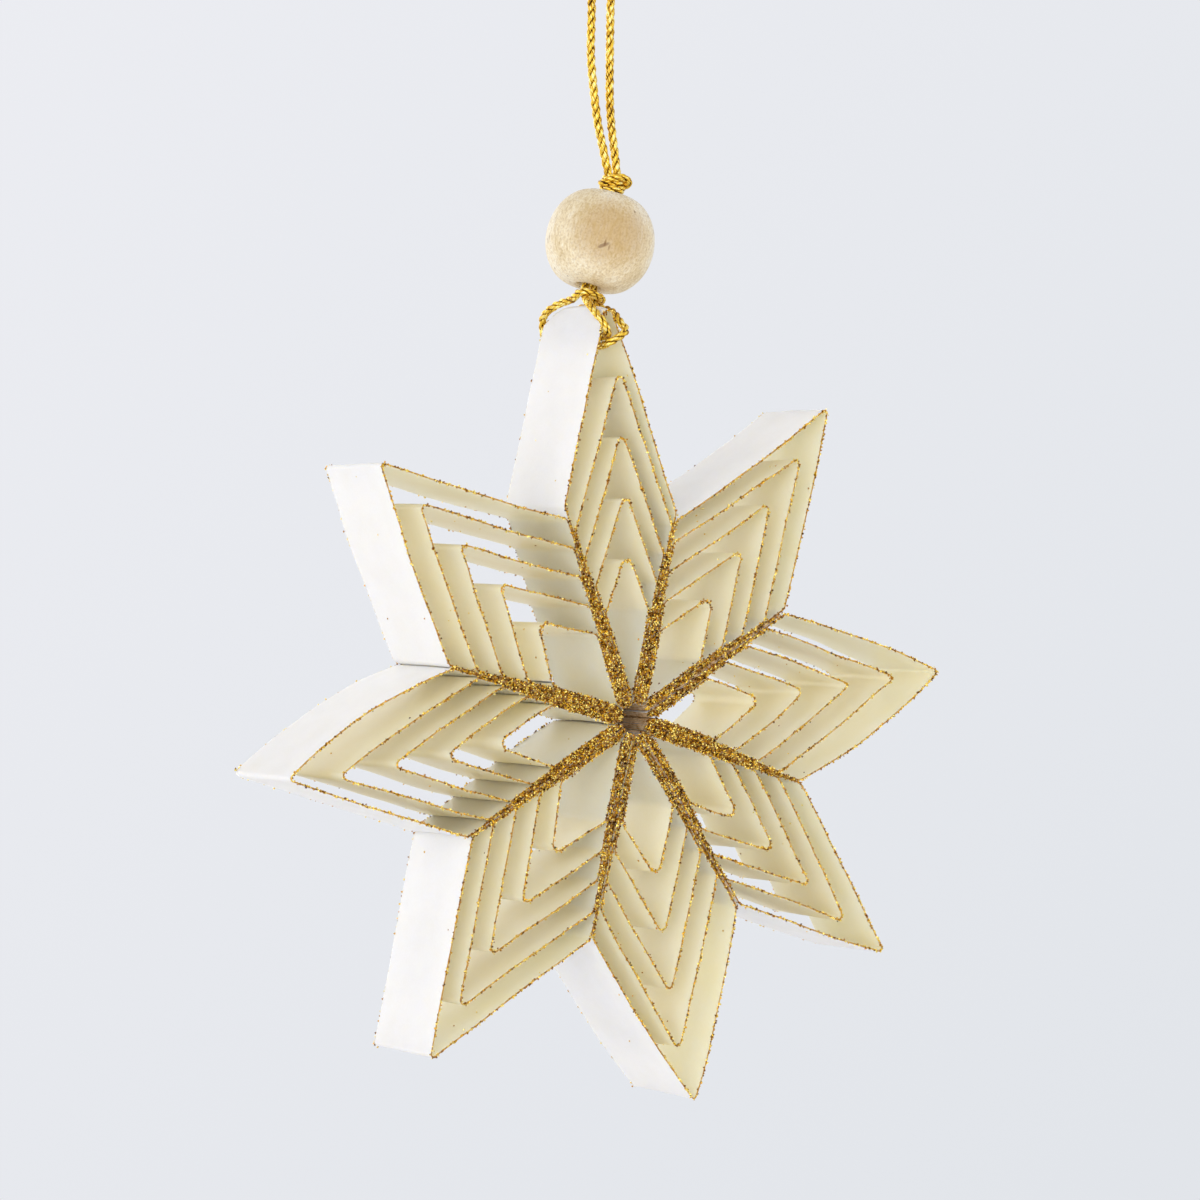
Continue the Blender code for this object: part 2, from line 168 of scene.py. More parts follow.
stage = {
    "cameraPlace": (-0.30463, -0.43216, -0.07826),
    "cameraRight": (0.81799, -0.57519, -0.00695),
    "cameraUp": (0.02064, 0.01727, 0.99964),
    "focalLength": 115.53,  # on a 36 mm sensor
    "sensorWidth": 36.0,
    "floorDrop": 0.45,  # below the hook
    "floorRadius": 1.1,
    "floorSides": 96,
    "floorPatch": 1 / 3,  # across a patch of its paint
    "floorTones": ((0.3, "#F0F1F4"), (0.7, "#F4F5F8")),
    "backdropColours": ("#E2E5EA", "#ECEDF2"),  # lower right, upper left
    "backdropSlope": (-0.58, 0.41, 0.71),  # towards its paler side
    "backdropReach": 0.22,  # of the slope, from the middle to either colour
    "skyColour": "#F5F5F7",
    "skyStrength": 0.81,  # at the horizon
    "zenithStrength": 0.48,
    "lamps": (  # name, place, aim, width, height, watts, colour
        ("key", (-0.75, -0.65, 0.00), (0.0, 0.0, -0.10), 1.20, 1.20, 5.4, "#FFFDFA"),
        ("fill", (0.45, -1.10, 0.05), (0.0, 0.0, -0.10), 0.90, 0.90, 2.6, "#FAFAFF"),
        ("back", (-0.15, 1.00, 0.00), (0.0, 0.0, -0.10), 2.20, 1.60, 9.5, "#FFFCF6"),
    ),
}


def addCamera():
    data = bpy.data.cameras.new("camera")
    data.lens = stage["focalLength"]
    data.sensor_width = stage["sensorWidth"]
    data.clip_start = 0.01
    camera = bpy.data.objects.new("camera", data)
    bpy.context.collection.objects.link(camera)
    right = Vector(stage["cameraRight"]).normalized()
    back = right.cross(Vector(stage["cameraUp"])).normalized()
    turned = Matrix((right, back.cross(right), back)).transposed()
    camera.matrix_world = Matrix.Translation(stage["cameraPlace"]) @ turned.to_4x4()
    bpy.context.scene.camera = camera


def addFloor():
    count, radius = stage["floorSides"], stage["floorRadius"]
    rim = []
    for step in range(count):
        angle = math.tau * step / count
        rim.append((math.cos(angle) * radius, math.sin(angle) * radius, -stage["floorDrop"]))
    mesh = bpy.data.meshes.new("floor")
    mesh.from_pydata(rim, [], [range(count)])
    mesh.materials.append(makeMottled(
        "matt_floor_paint", {"Roughness": 0.9}, stage["floorPatch"], stage["floorTones"]))
    floor = bpy.data.objects.new("floor", mesh)
    bpy.context.collection.objects.link(floor)


def addLamps():
    for name, place, aim, width, height, watts, hexCode in stage["lamps"]:
        data = bpy.data.lights.new(name, "AREA")
        data.shape = "RECTANGLE"
        data.size = width
        data.size_y = height
        data.energy = watts
        data.color = colour(hexCode)[:3]
        lamp = bpy.data.objects.new(name, data)
        bpy.context.collection.objects.link(lamp)
        lamp.location = place
        lamp.rotation_euler = (Vector(aim) - Vector(place)).to_track_quat("-Z", "Y").to_euler()


def addSky():
    # camera, gloss and glass see the pale backdrop, everything else is lit by the plain sky
    world = bpy.data.worlds.new("studio")
    world.use_nodes = True
    tree = world.node_tree
    tree.nodes.clear()
    path = addNode(tree, "ShaderNodeLightPath")
    seen = addNode(tree, "ShaderNodeMath", {"operation": "MAXIMUM"}, {
        0: path.outputs["Is Camera Ray"], 1: path.outputs["Is Glossy Ray"]})
    seen = addNode(tree, "ShaderNodeMath", {"operation": "MAXIMUM"}, {
        0: seen, 1: path.outputs["Is Transmission Ray"]})
    # the sky is brighter round the horizon than overhead
    direction = addNode(tree, "ShaderNodeTexCoord").outputs["Generated"]
    height = addNode(tree, "ShaderNodeSeparateXYZ", links={0: direction}).outputs["Z"]
    level = addNode(tree, "ShaderNodeMapRange", links={
        "Value": height, "To Min": stage["skyStrength"], "To Max": stage["zenithStrength"]})
    sky = addNode(tree, "ShaderNodeBackground", links={
        "Color": colour(stage["skyColour"]), "Strength": level})
    # the backdrop is a little paler to the upper left
    slope = addNode(tree, "ShaderNodeVectorMath", {"operation": "DOT_PRODUCT"}, {
        0: direction, 1: stage["backdropSlope"]}).outputs["Value"]
    slope = addNode(tree, "ShaderNodeMapRange", links={
        "Value": slope, "From Min": -stage["backdropReach"], "From Max": stage["backdropReach"]})
    darker, paler = [colour(hexCode) for hexCode in stage["backdropColours"]]
    shade = addNode(tree, "ShaderNodeMix", {"data_type": "RGBA"}, {"Factor": slope, "A": darker, "B": paler})
    backdrop = addNode(tree, "ShaderNodeBackground", links={"Color": shade, "Strength": 1.0})
    mixed = addNode(tree, "ShaderNodeMixShader", links={0: seen, 1: sky, 2: backdrop})
    addNode(tree, "ShaderNodeOutputWorld", links={"Surface": mixed})
    bpy.context.scene.world = world


addCamera()
addFloor()
addLamps()
addSky()
bpy.context.scene.view_settings.view_transform = "Standard"
print("stage: camera, floor, lamps and sky")


# Gold cord

cord = {
    "diameter": 0.0010,
    "plies": 3,
    "plyRadius": 0.00030,
    "layRadius": 0.00030,  # from the cord's middle to the middle of a ply
    "pitch": 0.0041,  # one full turn of the plies
    "yarnTurns": 2.2,  # turns of the yarns in a ply for each turn of the plies, the other way
    "step": 0.00013,  # between the sections of a ply
    "sides": 12,  # of a ply
    "yarns": 3,  # that flute a ply
    "yarnDepth": 0.08,  # of the ply's radius
    "pulled": 0.92,  # of its thickness in the hitch, which the star's weight pulls tight
    "pathStep": 0.0005,  # between the points of a route
    "strokeSize": 0.0003,  # across a stroke of film
    "strokeStretch": 0.3,  # of the painted shade's darker patches
    "shadePatchSize": 0.0025,  # where the film turns away from the light
    "tones": ((0.0, "#3A2406"), (0.25, "#8A5E16"), (0.47, "#D9A62C"), (0.70, "#F6D044"), (0.95, "#FFF0A0")),
}

# The routes, in millimetres about the hanging tip's reach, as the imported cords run.
hitchRoute = (
    (1.80, 0.00, 17.00), (1.07, 0.00, 15.56), (-0.32, 0.00, 11.18), (-1.77, 0.00, 6.60),
    (-2.75, -0.10, 3.65), (-3.30, -0.40, 2.15), (-3.50, -0.65, 1.55), (-3.78, -1.15, 1.02),
    (-4.18, -1.90, 0.68), (-4.70, -2.75, 0.53), (-5.14, -3.60, 0.22), (-5.44, -4.50, -0.18),
    (-5.62, -5.40, -0.68), (-5.76, -6.25, -1.25), (-5.82, -6.98, -1.80), (-5.74, -7.66, -2.28),
    (-5.42, -7.95, -2.95), (-5.12, -8.00, -3.65), (-4.65, -7.65, -4.22), (-4.15, -6.75, -4.48),
    (-3.92, -5.40, -4.55), (-3.92, 0.00, -4.55), (-3.92, 5.00, -4.55), (-4.05, 6.40, -4.50),
    (-4.40, 7.35, -4.25), (-4.62, 7.86, -3.75), (-4.56, 7.97, -3.10), (-4.60, 8.00, -2.38),
    (-4.80, 7.68, -1.70), (-4.98, 7.00, -1.22), (-5.06, 6.25, -0.76), (-4.98, 5.40, -0.38),
    (-4.76, 4.20, 0.12), (-4.44, 3.00, 0.47), (-4.34, 1.85, 0.64), (-4.38, 0.90, 0.85),
    (-4.55, 0.00, 1.15), (-4.75, -0.90, 1.48), (-4.45, -1.95, 1.70), (-3.70, -2.60, 1.45),
    (-2.80, -2.52, 1.10), (-1.90, -2.15, 0.82), (-1.25, -1.55, 0.62), (-0.82, -0.80, 0.52),
    (-0.72, 0.10, 0.40), (-0.90, 1.10, 0.20), (-1.30, 2.20, -0.10), (-1.70, 3.40, -0.50),
    (-1.90, 4.60, -1.10), (-1.92, 5.80, -1.75), (-1.80, 6.85, -2.36), (-1.90, 7.62, -3.06),
    (-2.30, 8.00, -3.80), (-2.85, 7.98, -4.55), (-3.45, 7.68, -5.25), (-3.85, 6.90, -5.68),
    (-3.92, 4.50, -5.80), (-3.92, 0.00, -5.80), (-3.98, -4.50, -5.80), (-4.28, -6.20, -5.75),
    (-4.55, -7.20, -5.60), (-4.30, -7.85, -5.32), (-3.60, -8.02, -4.97), (-2.90, -8.02, -4.57),
    (-2.06, -8.00, -4.05), (-1.57, -7.30, -3.38), (-1.80, -6.50, -2.60), (-1.62, -5.40, -1.75),
    (-1.48, -4.20, -1.10), (-1.50, -2.95, -0.75), (-1.65, -2.00, -0.52), (-1.85, -1.30, -0.22),
    (-2.00, -0.80, 0.32), (-2.00, -0.50, 1.00), (-1.88, -0.40, 1.75), (-1.48, -0.10, 3.27),
    (-0.59, 0.00, 6.22), (0.86, 0.00, 10.80), (2.25, 0.00, 15.18), (2.70, 0.00, 16.70),
)
loopRoute = (
    (1.25, 0.00, 17.50), (0.80, 0.00, 18.85), (0.33, 0.00, 20.80), (-0.71, 0.00, 25.10),
    (-1.43, 0.00, 30.30), (-1.75, 0.00, 34.60), (-1.55, 0.00, 41.10), (-1.85, 0.00, 46.10),
    (-2.10, 0.00, 50.00), (-1.48, 0.00, 51.48), (0.00, 0.00, 52.10), (1.48, 0.00, 51.48),
    (2.10, 0.00, 50.00), (1.85, 0.00, 46.10), (1.60, 0.00, 41.10), (1.42, 0.00, 34.10),
    (1.36, 0.00, 28.10), (1.65, 0.00, 24.10), (2.15, 0.00, 20.60), (2.35, 0.00, 18.85),
    (2.45, 0.00, 17.50),
)
tipDrop = 0.0516  # from the hook down to the hanging tip's reach


def smoothRoute(route, spacing):
    # evenly spaced points on a smooth curve through the route's points
    points = [2 * route[0] - route[1]] + route + [2 * route[-1] - route[-2]]
    dense = []
    steps = 12
    for first, start, end, last in zip(points, points[1:], points[2:], points[3:]):
        for step in range(steps):
            share = step / steps
            curve = 2 * start + (end - first) * share
            curve += (2 * first - 5 * start + 4 * end - last) * share**2
            curve += (3 * start - first - 3 * end + last) * share**3
            dense.append(curve / 2)
    dense.append(points[-2])
    lengths = [0.0]
    for start, end in zip(dense, dense[1:]):
        lengths.append(lengths[-1] + (end - start).length)
    count = max(2, round(lengths[-1] / spacing))
    even = []
    index = 0
    for step in range(count + 1):
        wanted = lengths[-1] * step / count
        while index < len(dense) - 2 and lengths[index + 1] < wanted:
            index += 1
        share = (wanted - lengths[index]) / (lengths[index + 1] - lengths[index])
        even.append(dense[index].lerp(dense[index + 1], share))
    return even


def routePoints(route):
    drop = Vector((0.0, 0.0, tipDrop))
    return smoothRoute([Vector(point) * millimetre - drop for point in route], cord["pathStep"])


def pathLength(points, closed=False):
    length = sum((end - start).length for start, end in zip(points, points[1:]))
    return length + ((points[0] - points[-1]).length if closed else 0.0)


def makeCordMaterial():
    # metallised film wound on yarn: bright yellow strokes beside brown ones, partly the film's own and partly
    # painted glints and shade, and painted shade between the plies
    material, tree, shader = startMaterial("gold_film_yarn_twisted", {"Metallic": 0.75, "Roughness": 0.36})
    place = addNode(tree, "ShaderNodeTexCoord").outputs["Object"]
    section = addNode(tree, "ShaderNodeAttribute", {"attribute_name": "section"}).outputs["Vector"]
    run = addNode(tree, "ShaderNodeAttribute", {"attribute_name": "run"}).outputs["Fac"]
    # strokes of film 0.3 mm wide and 1 mm long, along the yarns, which also carry painted glints
    drawn = addNode(tree, "ShaderNodeMath", {"operation": "MULTIPLY"}, {0: run, 1: cord["strokeStretch"]})
    drawn = addNode(tree, "ShaderNodeCombineXYZ", links={"Z": drawn})
    drawn = addNode(tree, "ShaderNodeVectorMath", {"operation": "ADD"}, {0: section, 1: drawn})
    stroke = addNode(tree, "ShaderNodeTexNoise", links={
        "Vector": drawn, "Scale": 1 / cord["strokeSize"], "Detail": 1.0, "Roughness": 0.5})
    # painted shade: longer darker patches, where the film would turn away from the light
    patch = addNode(tree, "ShaderNodeTexNoise", links={
        "Vector": place, "Scale": 1 / cord["shadePatchSize"], "Detail": 1.0})
    lift = addNode(tree, "ShaderNodeAttribute", {"attribute_name": "lift"}).outputs["Fac"]
    tone = addNode(tree, "ShaderNodeMapRange", links={
        "Value": stroke, "From Min": 0.32, "From Max": 0.66, "To Min": 0.0, "To Max": 0.70})
    tone = addNode(tree, "ShaderNodeMath", {"operation": "MULTIPLY_ADD"}, {0: patch, 1: 0.55, 2: tone})
    # painted shade: darker where the surface lies deep between the plies
    depth = addNode(tree, "ShaderNodeMapRange", links={
        "Value": lift, "From Min": 0.52, "From Max": 0.84, "To Min": -0.75, "To Max": 0.0})
    tone = addNode(tree, "ShaderNodeMath", {"operation": "ADD"}, {0: tone, 1: depth})
    ramp = addNode(tree, "ShaderNodeValToRGB", links={"Fac": tone})
    fillRamp(ramp, cord["tones"])
    tree.links.new(ramp.outputs["Color"], shader.inputs["Base Color"])
    bump = addNode(tree, "ShaderNodeBump", links={
        "Height": stroke, "Distance": 0.00008, "Strength": 0.7})
    tree.links.new(bump.outputs["Normal"], shader.inputs["Normal"])
    return material


def makeCordTree():
    # plies laid round a centreline, each a fluted yarn bundle twisted the other way
    tree, handles, given = startTree("twistedCord", {
        "Plies": "Int", "Ply Radius": "Float", "Lay Radius": "Float", "Turns": "Float",
        "Yarn Turns": "Float", "Yarn Depth": "Float", "Step": "Float", "Material": "Material"})
    curve = addNode(tree, "GeometryNodeMeshToCurve", links={"Mesh": given["Geometry"]})
    curve = addNode(tree, "GeometryNodeResampleCurve", {"mode": "LENGTH"}, {
        "Curve": curve, "Length": given["Step"]})
    # each point keeps its place on the centreline, so that depth inside the cord is known later
    position = addNode(tree, "GeometryNodeInputPosition")
    curve = addNode(tree, "GeometryNodeStoreNamedAttribute", {
        "data_type": "FLOAT_VECTOR", "domain": "POINT"}, {
            "Geometry": curve, "Name": "middle", "Value": position})
    ply = addNode(tree, "GeometryNodeDuplicateElements", {"domain": "SPLINE"}, {
        "Geometry": curve, "Amount": given["Plies"]})
    along = addNode(tree, "GeometryNodeSplineParameter").outputs["Factor"]
    share = addNode(tree, "ShaderNodeMath", {"operation": "DIVIDE"}, {
        0: ply.outputs["Duplicate Index"], 1: given["Plies"]})
    turn = addNode(tree, "ShaderNodeMath", {"operation": "MULTIPLY_ADD"}, {
        0: along, 1: given["Turns"], 2: share})
    angle = addNode(tree, "ShaderNodeMath", {"operation": "MULTIPLY"}, {0: turn, 1: math.tau})
    normal = addNode(tree, "GeometryNodeInputNormal")
    tangent = addNode(tree, "GeometryNodeInputTangent")
    side = addNode(tree, "ShaderNodeVectorMath", {"operation": "CROSS_PRODUCT"}, {0: tangent, 1: normal})
    cosine = addNode(tree, "ShaderNodeMath", {"operation": "COSINE"}, {0: angle})
    sine = addNode(tree, "ShaderNodeMath", {"operation": "SINE"}, {0: angle})
    forward = addNode(tree, "ShaderNodeVectorMath", {"operation": "SCALE"}, {0: normal, "Scale": cosine})
    sideways = addNode(tree, "ShaderNodeVectorMath", {"operation": "SCALE"}, {0: side, "Scale": sine})
    offset = addNode(tree, "ShaderNodeVectorMath", {"operation": "ADD"}, {0: forward, 1: sideways})
    offset = addNode(tree, "ShaderNodeVectorMath", {"operation": "SCALE"}, {
        0: offset, "Scale": given["Lay Radius"]})
    laid = addNode(tree, "GeometryNodeSetPosition", links={
        "Geometry": ply.outputs["Geometry"], "Offset": offset})
    yarnAngle = addNode(tree, "ShaderNodeMath", {"operation": "MULTIPLY"}, {0: along, 1: given["Yarn Turns"]})
    yarnAngle = addNode(tree, "ShaderNodeMath", {"operation": "MULTIPLY"}, {0: yarnAngle, 1: -math.tau})
    laid = addNode(tree, "GeometryNodeSetCurveTilt", links={"Curve": laid, "Tilt": yarnAngle})
    # where the film's strokes lie: how far along the ply, and where on its section
    run = addNode(tree, "GeometryNodeSplineParameter").outputs["Length"]
    laid = addNode(tree, "GeometryNodeStoreNamedAttribute", {"data_type": "FLOAT", "domain": "POINT"}, {
        "Geometry": laid, "Name": "run", "Value": run})
    # the section of a ply: a round, fluted by its yarns
    ring = addNode(tree, "GeometryNodeCurvePrimitiveCircle", links={
        "Resolution": cord["sides"], "Radius": given["Ply Radius"]})
    ring = addNode(tree, "GeometryNodeStoreNamedAttribute", {
        "data_type": "FLOAT_VECTOR", "domain": "POINT"}, {
            "Geometry": ring, "Name": "section", "Value": position})
    around = addNode(tree, "GeometryNodeSplineParameter").outputs["Factor"]
    flute = addNode(tree, "ShaderNodeMath", {"operation": "MULTIPLY"}, {
        0: around, 1: cord["yarns"] * math.tau})
    flute = addNode(tree, "ShaderNodeMath", {"operation": "COSINE"}, {0: flute})
    flute = addNode(tree, "ShaderNodeMath", {"operation": "MULTIPLY"}, {0: flute, 1: given["Yarn Depth"]})
    outward = addNode(tree, "ShaderNodeVectorMath", {"operation": "SCALE"}, {0: position, "Scale": flute})
    ring = addNode(tree, "GeometryNodeSetPosition", links={"Geometry": ring, "Offset": outward})
    tube = addNode(tree, "GeometryNodeCurveToMesh", links={
        "Curve": laid, "Profile Curve": ring, "Fill Caps": True})
    middle = addNode(tree, "GeometryNodeInputNamedAttribute", {"data_type": "FLOAT_VECTOR"}, {
        "Name": "middle"})
    lift = addNode(tree, "ShaderNodeVectorMath", {"operation": "DISTANCE"}, {0: middle, 1: position})
    reach = addNode(tree, "ShaderNodeMath", {"operation": "ADD"}, {
        0: given["Lay Radius"], 1: given["Ply Radius"]})
    lift = addNode(tree, "ShaderNodeMath", {"operation": "DIVIDE"}, {0: lift.outputs["Value"], 1: reach})
    tube = addNode(tree, "GeometryNodeStoreNamedAttribute", {"data_type": "FLOAT", "domain": "POINT"}, {
        "Geometry": tube, "Name": "lift", "Value": lift})
    tube = addNode(tree, "GeometryNodeRemoveAttribute", links={"Geometry": tube, "Name": "middle"})
    tube = addNode(tree, "GeometryNodeSetShadeSmooth", links={"Geometry": tube, "Shade Smooth": True})
    endTree(tree, tube, [(given["Material"], None)])
    return tree, handles


def layCord(name, points, closed=False, thickness=1.0):
    edges = [(index, index + 1) for index in range(len(points) - 1)]
    if closed:
        edges.append((len(points) - 1, 0))
    line = bpy.data.meshes.new(name + "_line")
    line.from_pydata(points, edges, [])
    # a closed band takes whole turns, so that its plies and yarns meet their own starts
    turns = pathLength(points, closed) / cord["pitch"]
    if closed:
        turns = round(turns)
    yarnTurns = round(turns * cord["yarnTurns"]) if closed else turns * cord["yarnTurns"]
    return growMesh(name, line, cordTree, cordHandles, {
        "Plies": cord["plies"],
        "Ply Radius": cord["plyRadius"] * thickness, "Lay Radius": cord["layRadius"] * thickness,
        "Turns": float(turns), "Yarn Turns": float(yarnTurns), "Yarn Depth": cord["yarnDepth"],
        "Step": cord["step"], "Material": goldYarn})


goldYarn = makeCordMaterial()
cordTree, cordHandles = makeCordTree()
loopPoints = routePoints(loopRoute)
loop = bpy.data.objects.new("cord_loop", layCord("cord_loop", loopPoints))
bpy.context.collection.objects.link(loop)
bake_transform(loop)
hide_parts("hanging_loop")
hitchPoints = routePoints(hitchRoute)
hitchMesh = layCord("cord_hitch", hitchPoints, thickness=cord["pulled"])
addPiece("cord_hitch", hitchMesh, "hitch", "gold_cord", "hitch_cord")
print(f"cord: loop {pathLength(loopPoints) * 1000:.1f} mm, hitch {pathLength(hitchPoints) * 1000:.1f} mm")


# Wooden bead

bead = {
    "diameter": 0.0150,
    "height": 0.0151,  # before its ends are turned flat
    "fullness": 2.05,  # 2 is an ellipse, more has fuller shoulders
    "flat": 0.0067,  # from its middle to a flat end
    "flatEdge": 14,  # how sharply the flat ends meet the round side
    "bore": 0.0035,
    "boreRounding": 0.0004,  # of the bore's rims
    "shift": -0.00045,  # right of the hook
    "middle": 0.0429,  # below the hook
    "tilt": 17.6,  # degrees, its top leans to the right
    "rings": 60,  # down the outside
    "segments": 128,
    "roundingSteps": 8,
    "boreSteps": 10,
    "unevenness": 0.00006,
    "waves": 6,  # round the bead, of that height
    "waveClimb": 0.003,  # along the bore
    "seed": 11,
    "grainSize": 0.0005,
    "cloudSize": 0.0042,  # patches of darker wood
    "fleckSize": 0.0003,
    "fibreSize": 0.00025,
    "poreSpacing": 0.00095,  # from one open pore to the next
    "fleckTone": "#A67F4E",
    "poreTone": "#8C693F",
    "tones": ((0.38, "#DDC79A"), (0.48, "#F1E1BF"), (0.58, "#FAF1DA")),
    "shadeCentre": (0.0045, 0.0111, 0.0),  # centre of the painted shade's bands, across the bore
    "frontShadeReach": (0.0180, 0.0204),  # from that centre, where the painted shade sets in and where it is full
    "frontShadeTone": "#BA9554",
    "markPlace": (-0.0034, -0.0063, -0.0021),
    "markSize": (0.0009, 0.0010, 0.00028),
    "markTone": "#7A5636",
}


def beadCentre():
    return Vector((bead["shift"], 0.0, -bead["middle"]))


def flattened(up):
    # heights beyond the flat ends are pressed down onto them, with a softened edge
    power = bead["flatEdge"]
    return up / (1 + (abs(up) / bead["flat"]) ** power) ** (1 / power)


def beadRim():
    mouth = bead["bore"] / 2 + bead["boreRounding"]
    share = (mouth / (bead["diameter"] / 2)) ** bead["fullness"]
    return mouth, flattened(bead["height"] / 2 * (1 - share) ** (1 / bead["fullness"]))


def beadProfile():
    # (radius, height) points once round the section: down the outside, up the bore
    radius, height, bore = bead["diameter"] / 2, bead["height"] / 2, bead["bore"] / 2
    mouth, rim = beadRim()
    first = math.asin((mouth / radius) ** (bead["fullness"] / 2))
    outer = []
    for ring in range(bead["rings"] + 1):
        angle = first + (math.pi - 2 * first) * ring / bead["rings"]
        across = abs(math.sin(angle)) ** (2 / bead["fullness"])
        up = abs(math.cos(angle)) ** (2 / bead["fullness"]) * math.copysign(1.0, math.cos(angle))
        outer.append((radius * across, flattened(height * up)))
    rounding = []
    for step in range(1, bead["roundingSteps"]):
        angle = math.radians(90 * step / bead["roundingSteps"])
        sunk = bead["boreRounding"] * (1 - math.cos(angle))
        rounding.append((mouth - bead["boreRounding"] * math.sin(angle), rim - sunk))
    wall, steps = rim - bead["boreRounding"], bead["boreSteps"]
    walls = [(bore, -wall + 2 * wall * step / steps) for step in range(steps + 1)]
    lower = [(across, -up) for across, up in rounding]
    return outer + lower + walls + rounding[::-1]


def makeBeadMaterial():
    # sanded birch: pale, close grain along the bore, fine flecks and a few open pores
    material, tree, shader = startMaterial("sanded_birch", {"Roughness": 0.55, "Specular IOR Level": 0.35})
    place = addNode(tree, "ShaderNodeTexCoord").outputs["Object"]
    # centred on the bead and turned so that its bore is the pattern's Z
    own = addNode(tree, "ShaderNodeMapping", {"vector_type": "TEXTURE"}, {
        "Vector": place, "Location": beadCentre(), "Rotation": (0.0, math.radians(bead["tilt"]), 0.0)})
    long = addNode(tree, "ShaderNodeMapping", {"vector_type": "POINT"}, {
        "Vector": own, "Scale": (1.0, 1.0, 0.45)})
    # grain lines and clouds are twice as long as wide
    grain = addNode(tree, "ShaderNodeTexNoise", links={
        "Vector": long, "Scale": 1 / bead["grainSize"], "Detail": 3.0, "Roughness": 0.6, "Distortion": 0.3})
    cloud = addNode(tree, "ShaderNodeTexNoise", links={
        "Vector": long, "Scale": 1 / bead["cloudSize"], "Detail": 2.0})
    fleck = addNode(tree, "ShaderNodeTexNoise", links={
        "Vector": own, "Scale": 1 / bead["fleckSize"], "Detail": 2.0})
    tone = addNode(tree, "ShaderNodeMath", {"operation": "MULTIPLY_ADD"}, {0: grain, 1: 0.25, 2: 0.0})
    tone = addNode(tree, "ShaderNodeMath", {"operation": "MULTIPLY_ADD"}, {0: cloud, 1: 0.50, 2: tone})
    # fibres five times as long as wide
    drawn = addNode(tree, "ShaderNodeMapping", {"vector_type": "POINT"}, {
        "Vector": own, "Scale": (1.0, 1.0, 0.2)})
    fibre = addNode(tree, "ShaderNodeTexNoise", links={
        "Vector": drawn, "Scale": 1 / bead["fibreSize"], "Detail": 1.0})
    tone = addNode(tree, "ShaderNodeMath", {"operation": "MULTIPLY_ADD"}, {0: fibre, 1: 0.25, 2: tone})
    ramp = addNode(tree, "ShaderNodeValToRGB", links={"Fac": tone})
    fillRamp(ramp, bead["tones"])
    # painted shade: soft bands about a point outside the bead darken its front, the side farthest from that
    # point
    ring = addNode(tree, "ShaderNodeVectorMath", {"operation": "DISTANCE"}, {
        0: addNode(tree, "ShaderNodeVectorMath", {"operation": "MULTIPLY"}, {0: own, 1: (1.0, 1.0, 0.0)}),
        1: bead["shadeCentre"]}).outputs["Value"]
    ring = addNode(tree, "ShaderNodeMath", {"operation": "MULTIPLY_ADD"}, {0: cloud, 1: 0.0018, 2: ring})
    frontShade = addNode(tree, "ShaderNodeMapRange", {"interpolation_type": "SMOOTHSTEP"}, {
        "Value": ring, "From Min": bead["frontShadeReach"][0], "From Max": bead["frontShadeReach"][1],
        "To Min": 0.0, "To Max": 0.70})
    speck = addNode(tree, "ShaderNodeMapRange", links={
        "Value": fleck, "From Min": 0.48, "From Max": 0.66, "To Min": 0.0, "To Max": 0.30})
    # open pores: thin dashes along the grain, about 0.2 mm wide and 2 mm long
    thin = addNode(tree, "ShaderNodeMapping", {"vector_type": "POINT"}, {
        "Vector": own, "Scale": (1.0, 1.0, 0.10)})
    cell = addNode(tree, "ShaderNodeTexVoronoi", links={
        "Vector": thin, "Scale": 1 / bead["poreSpacing"], "Randomness": 1.0})
    pore = addNode(tree, "ShaderNodeMapRange", links={
        "Value": cell.outputs["Distance"], "From Min": 0.08, "From Max": 0.18, "To Min": 1.0, "To Max": 0.0})
    few = addNode(tree, "ShaderNodeMapRange", links={
        "Value": cloud, "From Min": 0.46, "From Max": 0.54, "To Min": 0.0, "To Max": 0.8})
    pore = addNode(tree, "ShaderNodeMath", {"operation": "MULTIPLY"}, {0: pore, 1: few})
    # a small dark slanting mark
    mark = addNode(tree, "ShaderNodeMapping", {"vector_type": "TEXTURE"}, {
        "Vector": own, "Location": bead["markPlace"], "Rotation": (0.0, math.radians(-40.0), 0.0),
        "Scale": bead["markSize"]})
    mark = addNode(tree, "ShaderNodeVectorMath", {"operation": "LENGTH"}, {0: mark}).outputs["Value"]
    mark = addNode(tree, "ShaderNodeMath", {"operation": "MULTIPLY_ADD"}, {0: fleck, 1: 0.8, 2: mark})
    mark = addNode(tree, "ShaderNodeMapRange", links={
        "Value": mark, "From Min": 1.0, "From Max": 1.5, "To Min": 0.65, "To Max": 0.0})
    # each darker tone lies over the ones before it
    wood = ramp
    for factor, name in ((frontShade, "frontShadeTone"), (speck, "fleckTone"), (pore, "poreTone"), (mark, "markTone")):
        wood = addNode(tree, "ShaderNodeMix", {"data_type": "RGBA"}, {
            "Factor": factor, "A": wood, "B": colour(bead[name])})
    tree.links.new(socketOf(wood.outputs, 0), shader.inputs["Base Color"])
    height = addNode(tree, "ShaderNodeMath", {"operation": "MULTIPLY_ADD"}, {0: pore, 1: -2.0, 2: fibre})
    bump = addNode(tree, "ShaderNodeBump", links={"Height": height, "Distance": 0.00006, "Strength": 0.8})
    tree.links.new(bump.outputs["Normal"], shader.inputs["Normal"])
    return material


